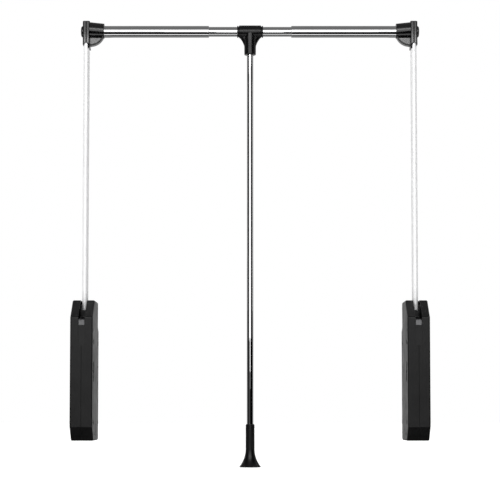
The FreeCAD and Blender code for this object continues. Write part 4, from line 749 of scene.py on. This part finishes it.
# The handle. A black bell-shaped moulding of the same soft finish as the tee, pushed over the rod's
# foot and held by a screw from below. It keeps its shape and gets smooth rounds.
finished_copy("pull_handle", soft_moulding)

# The castings inside. The arms' carriers, the rail's plugs, the crossheads under the racks and the
# rod's plug are cast and coated black, and are screwed, pinned or pressed in place.
CASTING_BLACK = (0.008, 0.008, 0.009)
finishes["black_casting"] = moulded("black_coat", CASTING_BLACK, rough=0.42, rough_swing=0.06, grain=700,
                                    grain_depth=0.00008, mottle=0.15)

# The gearing. The sector gears, screwed to the carriers' hubs, and the racks that they lift are
# machined from steel and oiled.
OILED_STEEL = (0.42, 0.42, 0.43)
finishes["gear_steel"] = metal("oiled_steel", OILED_STEEL, rough=0.34, rough_swing=0.08, streak=500,
                               stretch=(1, 1, 1), depth=0.000006)

# The plain steel pieces. Axles, pins and drawbars are cut from bright drawn bar, and washers and
# spring seats are punched from bright strip.
BRIGHT_STEEL = (0.62, 0.62, 0.63)
finishes["bright_steel"] = metal("drawn_steel", BRIGHT_STEEL, rough=0.22, rough_swing=0.05, streak=700,
                                 stretch=(1, 1, 0.1), depth=0.000004)

# The screws and nuts. Steel with a faintly yellow zinc plate. They hold the case's halves, the gears,
# the connectors, the drawbars and the handle.
ZINC = (0.6, 0.6, 0.56)
finishes["screw_steel"] = metal("zinc_plate", ZINC, rough=0.28, rough_swing=0.06, streak=300,
                                stretch=(1, 1, 1), depth=0.000004)

# The bushes, liners and plugs. Turned or moulded from natural white acetal, which runs dry on steel,
# and pressed into the hubs and the tubes' ends.
ACETAL_WHITE = (0.72, 0.71, 0.67)
finishes["bush_plastic"] = moulded("natural_acetal", ACETAL_WHITE, rough=0.38, rough_swing=0.05, grain=1500,
                                   grain_depth=0.00002, mottle=0.04)

# The dampers. Each is a sealed oil cylinder with a dark enamel coat that stands on the case's floor.
# Its steel rod is drawn out as the rack rises.
ENAMEL = (0.03, 0.03, 0.032)
finishes["damper_paint"] = moulded("damper_enamel", ENAMEL, rough=0.22, rough_swing=0.04, grain=260,
                                   grain_depth=0.00006, mottle=0.08)

# The lift springs. Each is a compression spring of round oiled wire, its end turns closed, between the
# washer on the drawbar and the seat under the case's ribs; it shortens as the arm comes down.
WIRE_GREY = (0.3, 0.3, 0.31)
WIRE_RADIUS = 0.0016
WIRE_POINTS = 12
CLOSED_TURNS = 1.5
OPEN_TURNS = 15.0
TURN_POINTS = 40


def spring_rows(inside, outside, low_z, high_z):
    """A round wire carried along a helix. Its height rises by one wire's width a turn in the closed end
    turns, and by an even pitch between them."""
    mean = (inside + outside) / 2
    turns_in_all = 2 * CLOSED_TURNS + OPEN_TURNS
    turn = np.linspace(0, turns_in_all, int(turns_in_all * TURN_POINTS) + 1)[:, None]
    bottom, top = low_z + WIRE_RADIUS, high_z - WIRE_RADIUS
    closed_rise = 2 * WIRE_RADIUS * CLOSED_TURNS
    height = np.interp(turn, [0, CLOSED_TURNS, CLOSED_TURNS + OPEN_TURNS, turns_in_all],
                       [bottom, bottom + closed_rise, top - closed_rise, top])
    around = ring(WIRE_POINTS)
    radius = mean + WIRE_RADIUS * np.cos(around)
    angle = 2 * math.pi * turn
    return points(radius * np.cos(angle), radius * np.sin(angle), height + WIRE_RADIUS * np.sin(around))


finishes["spring_steel"] = metal("spring_wire", WIRE_GREY, rough=0.3, rough_swing=0.06, streak=600,
                                 stretch=(1, 1, 1), depth=0.000005)
for side in ("left", "right"):
    spring = f"{side}_lift_spring"
    low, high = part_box(spring)
    outside = (high.x - low.x) / 2
    axis_x, axis_y = (low.x + high.x) / 2, (low.y + high.y) / 2
    rows = spring_rows(outside - 2 * WIRE_RADIUS, outside, low.z, high.z) + [axis_x, axis_y, 0]
    coil = surface_piece(f"{spring}_coil", [(rows, False)], finishes["spring_steel"],
                         nodes[spring]["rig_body"], [spring])
    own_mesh(coil)

# The frame's own nodes, hidden ones too. Each wears the finish that its slot in the record names, so
# that the pieces inside the closed case are finished as they would be made.
for part in frame["record"]["subparts"]:
    shown = nodes[part["node"]]
    shown.data.materials.clear()
    shown.data.materials.append(finishes[part["material_slot"]])
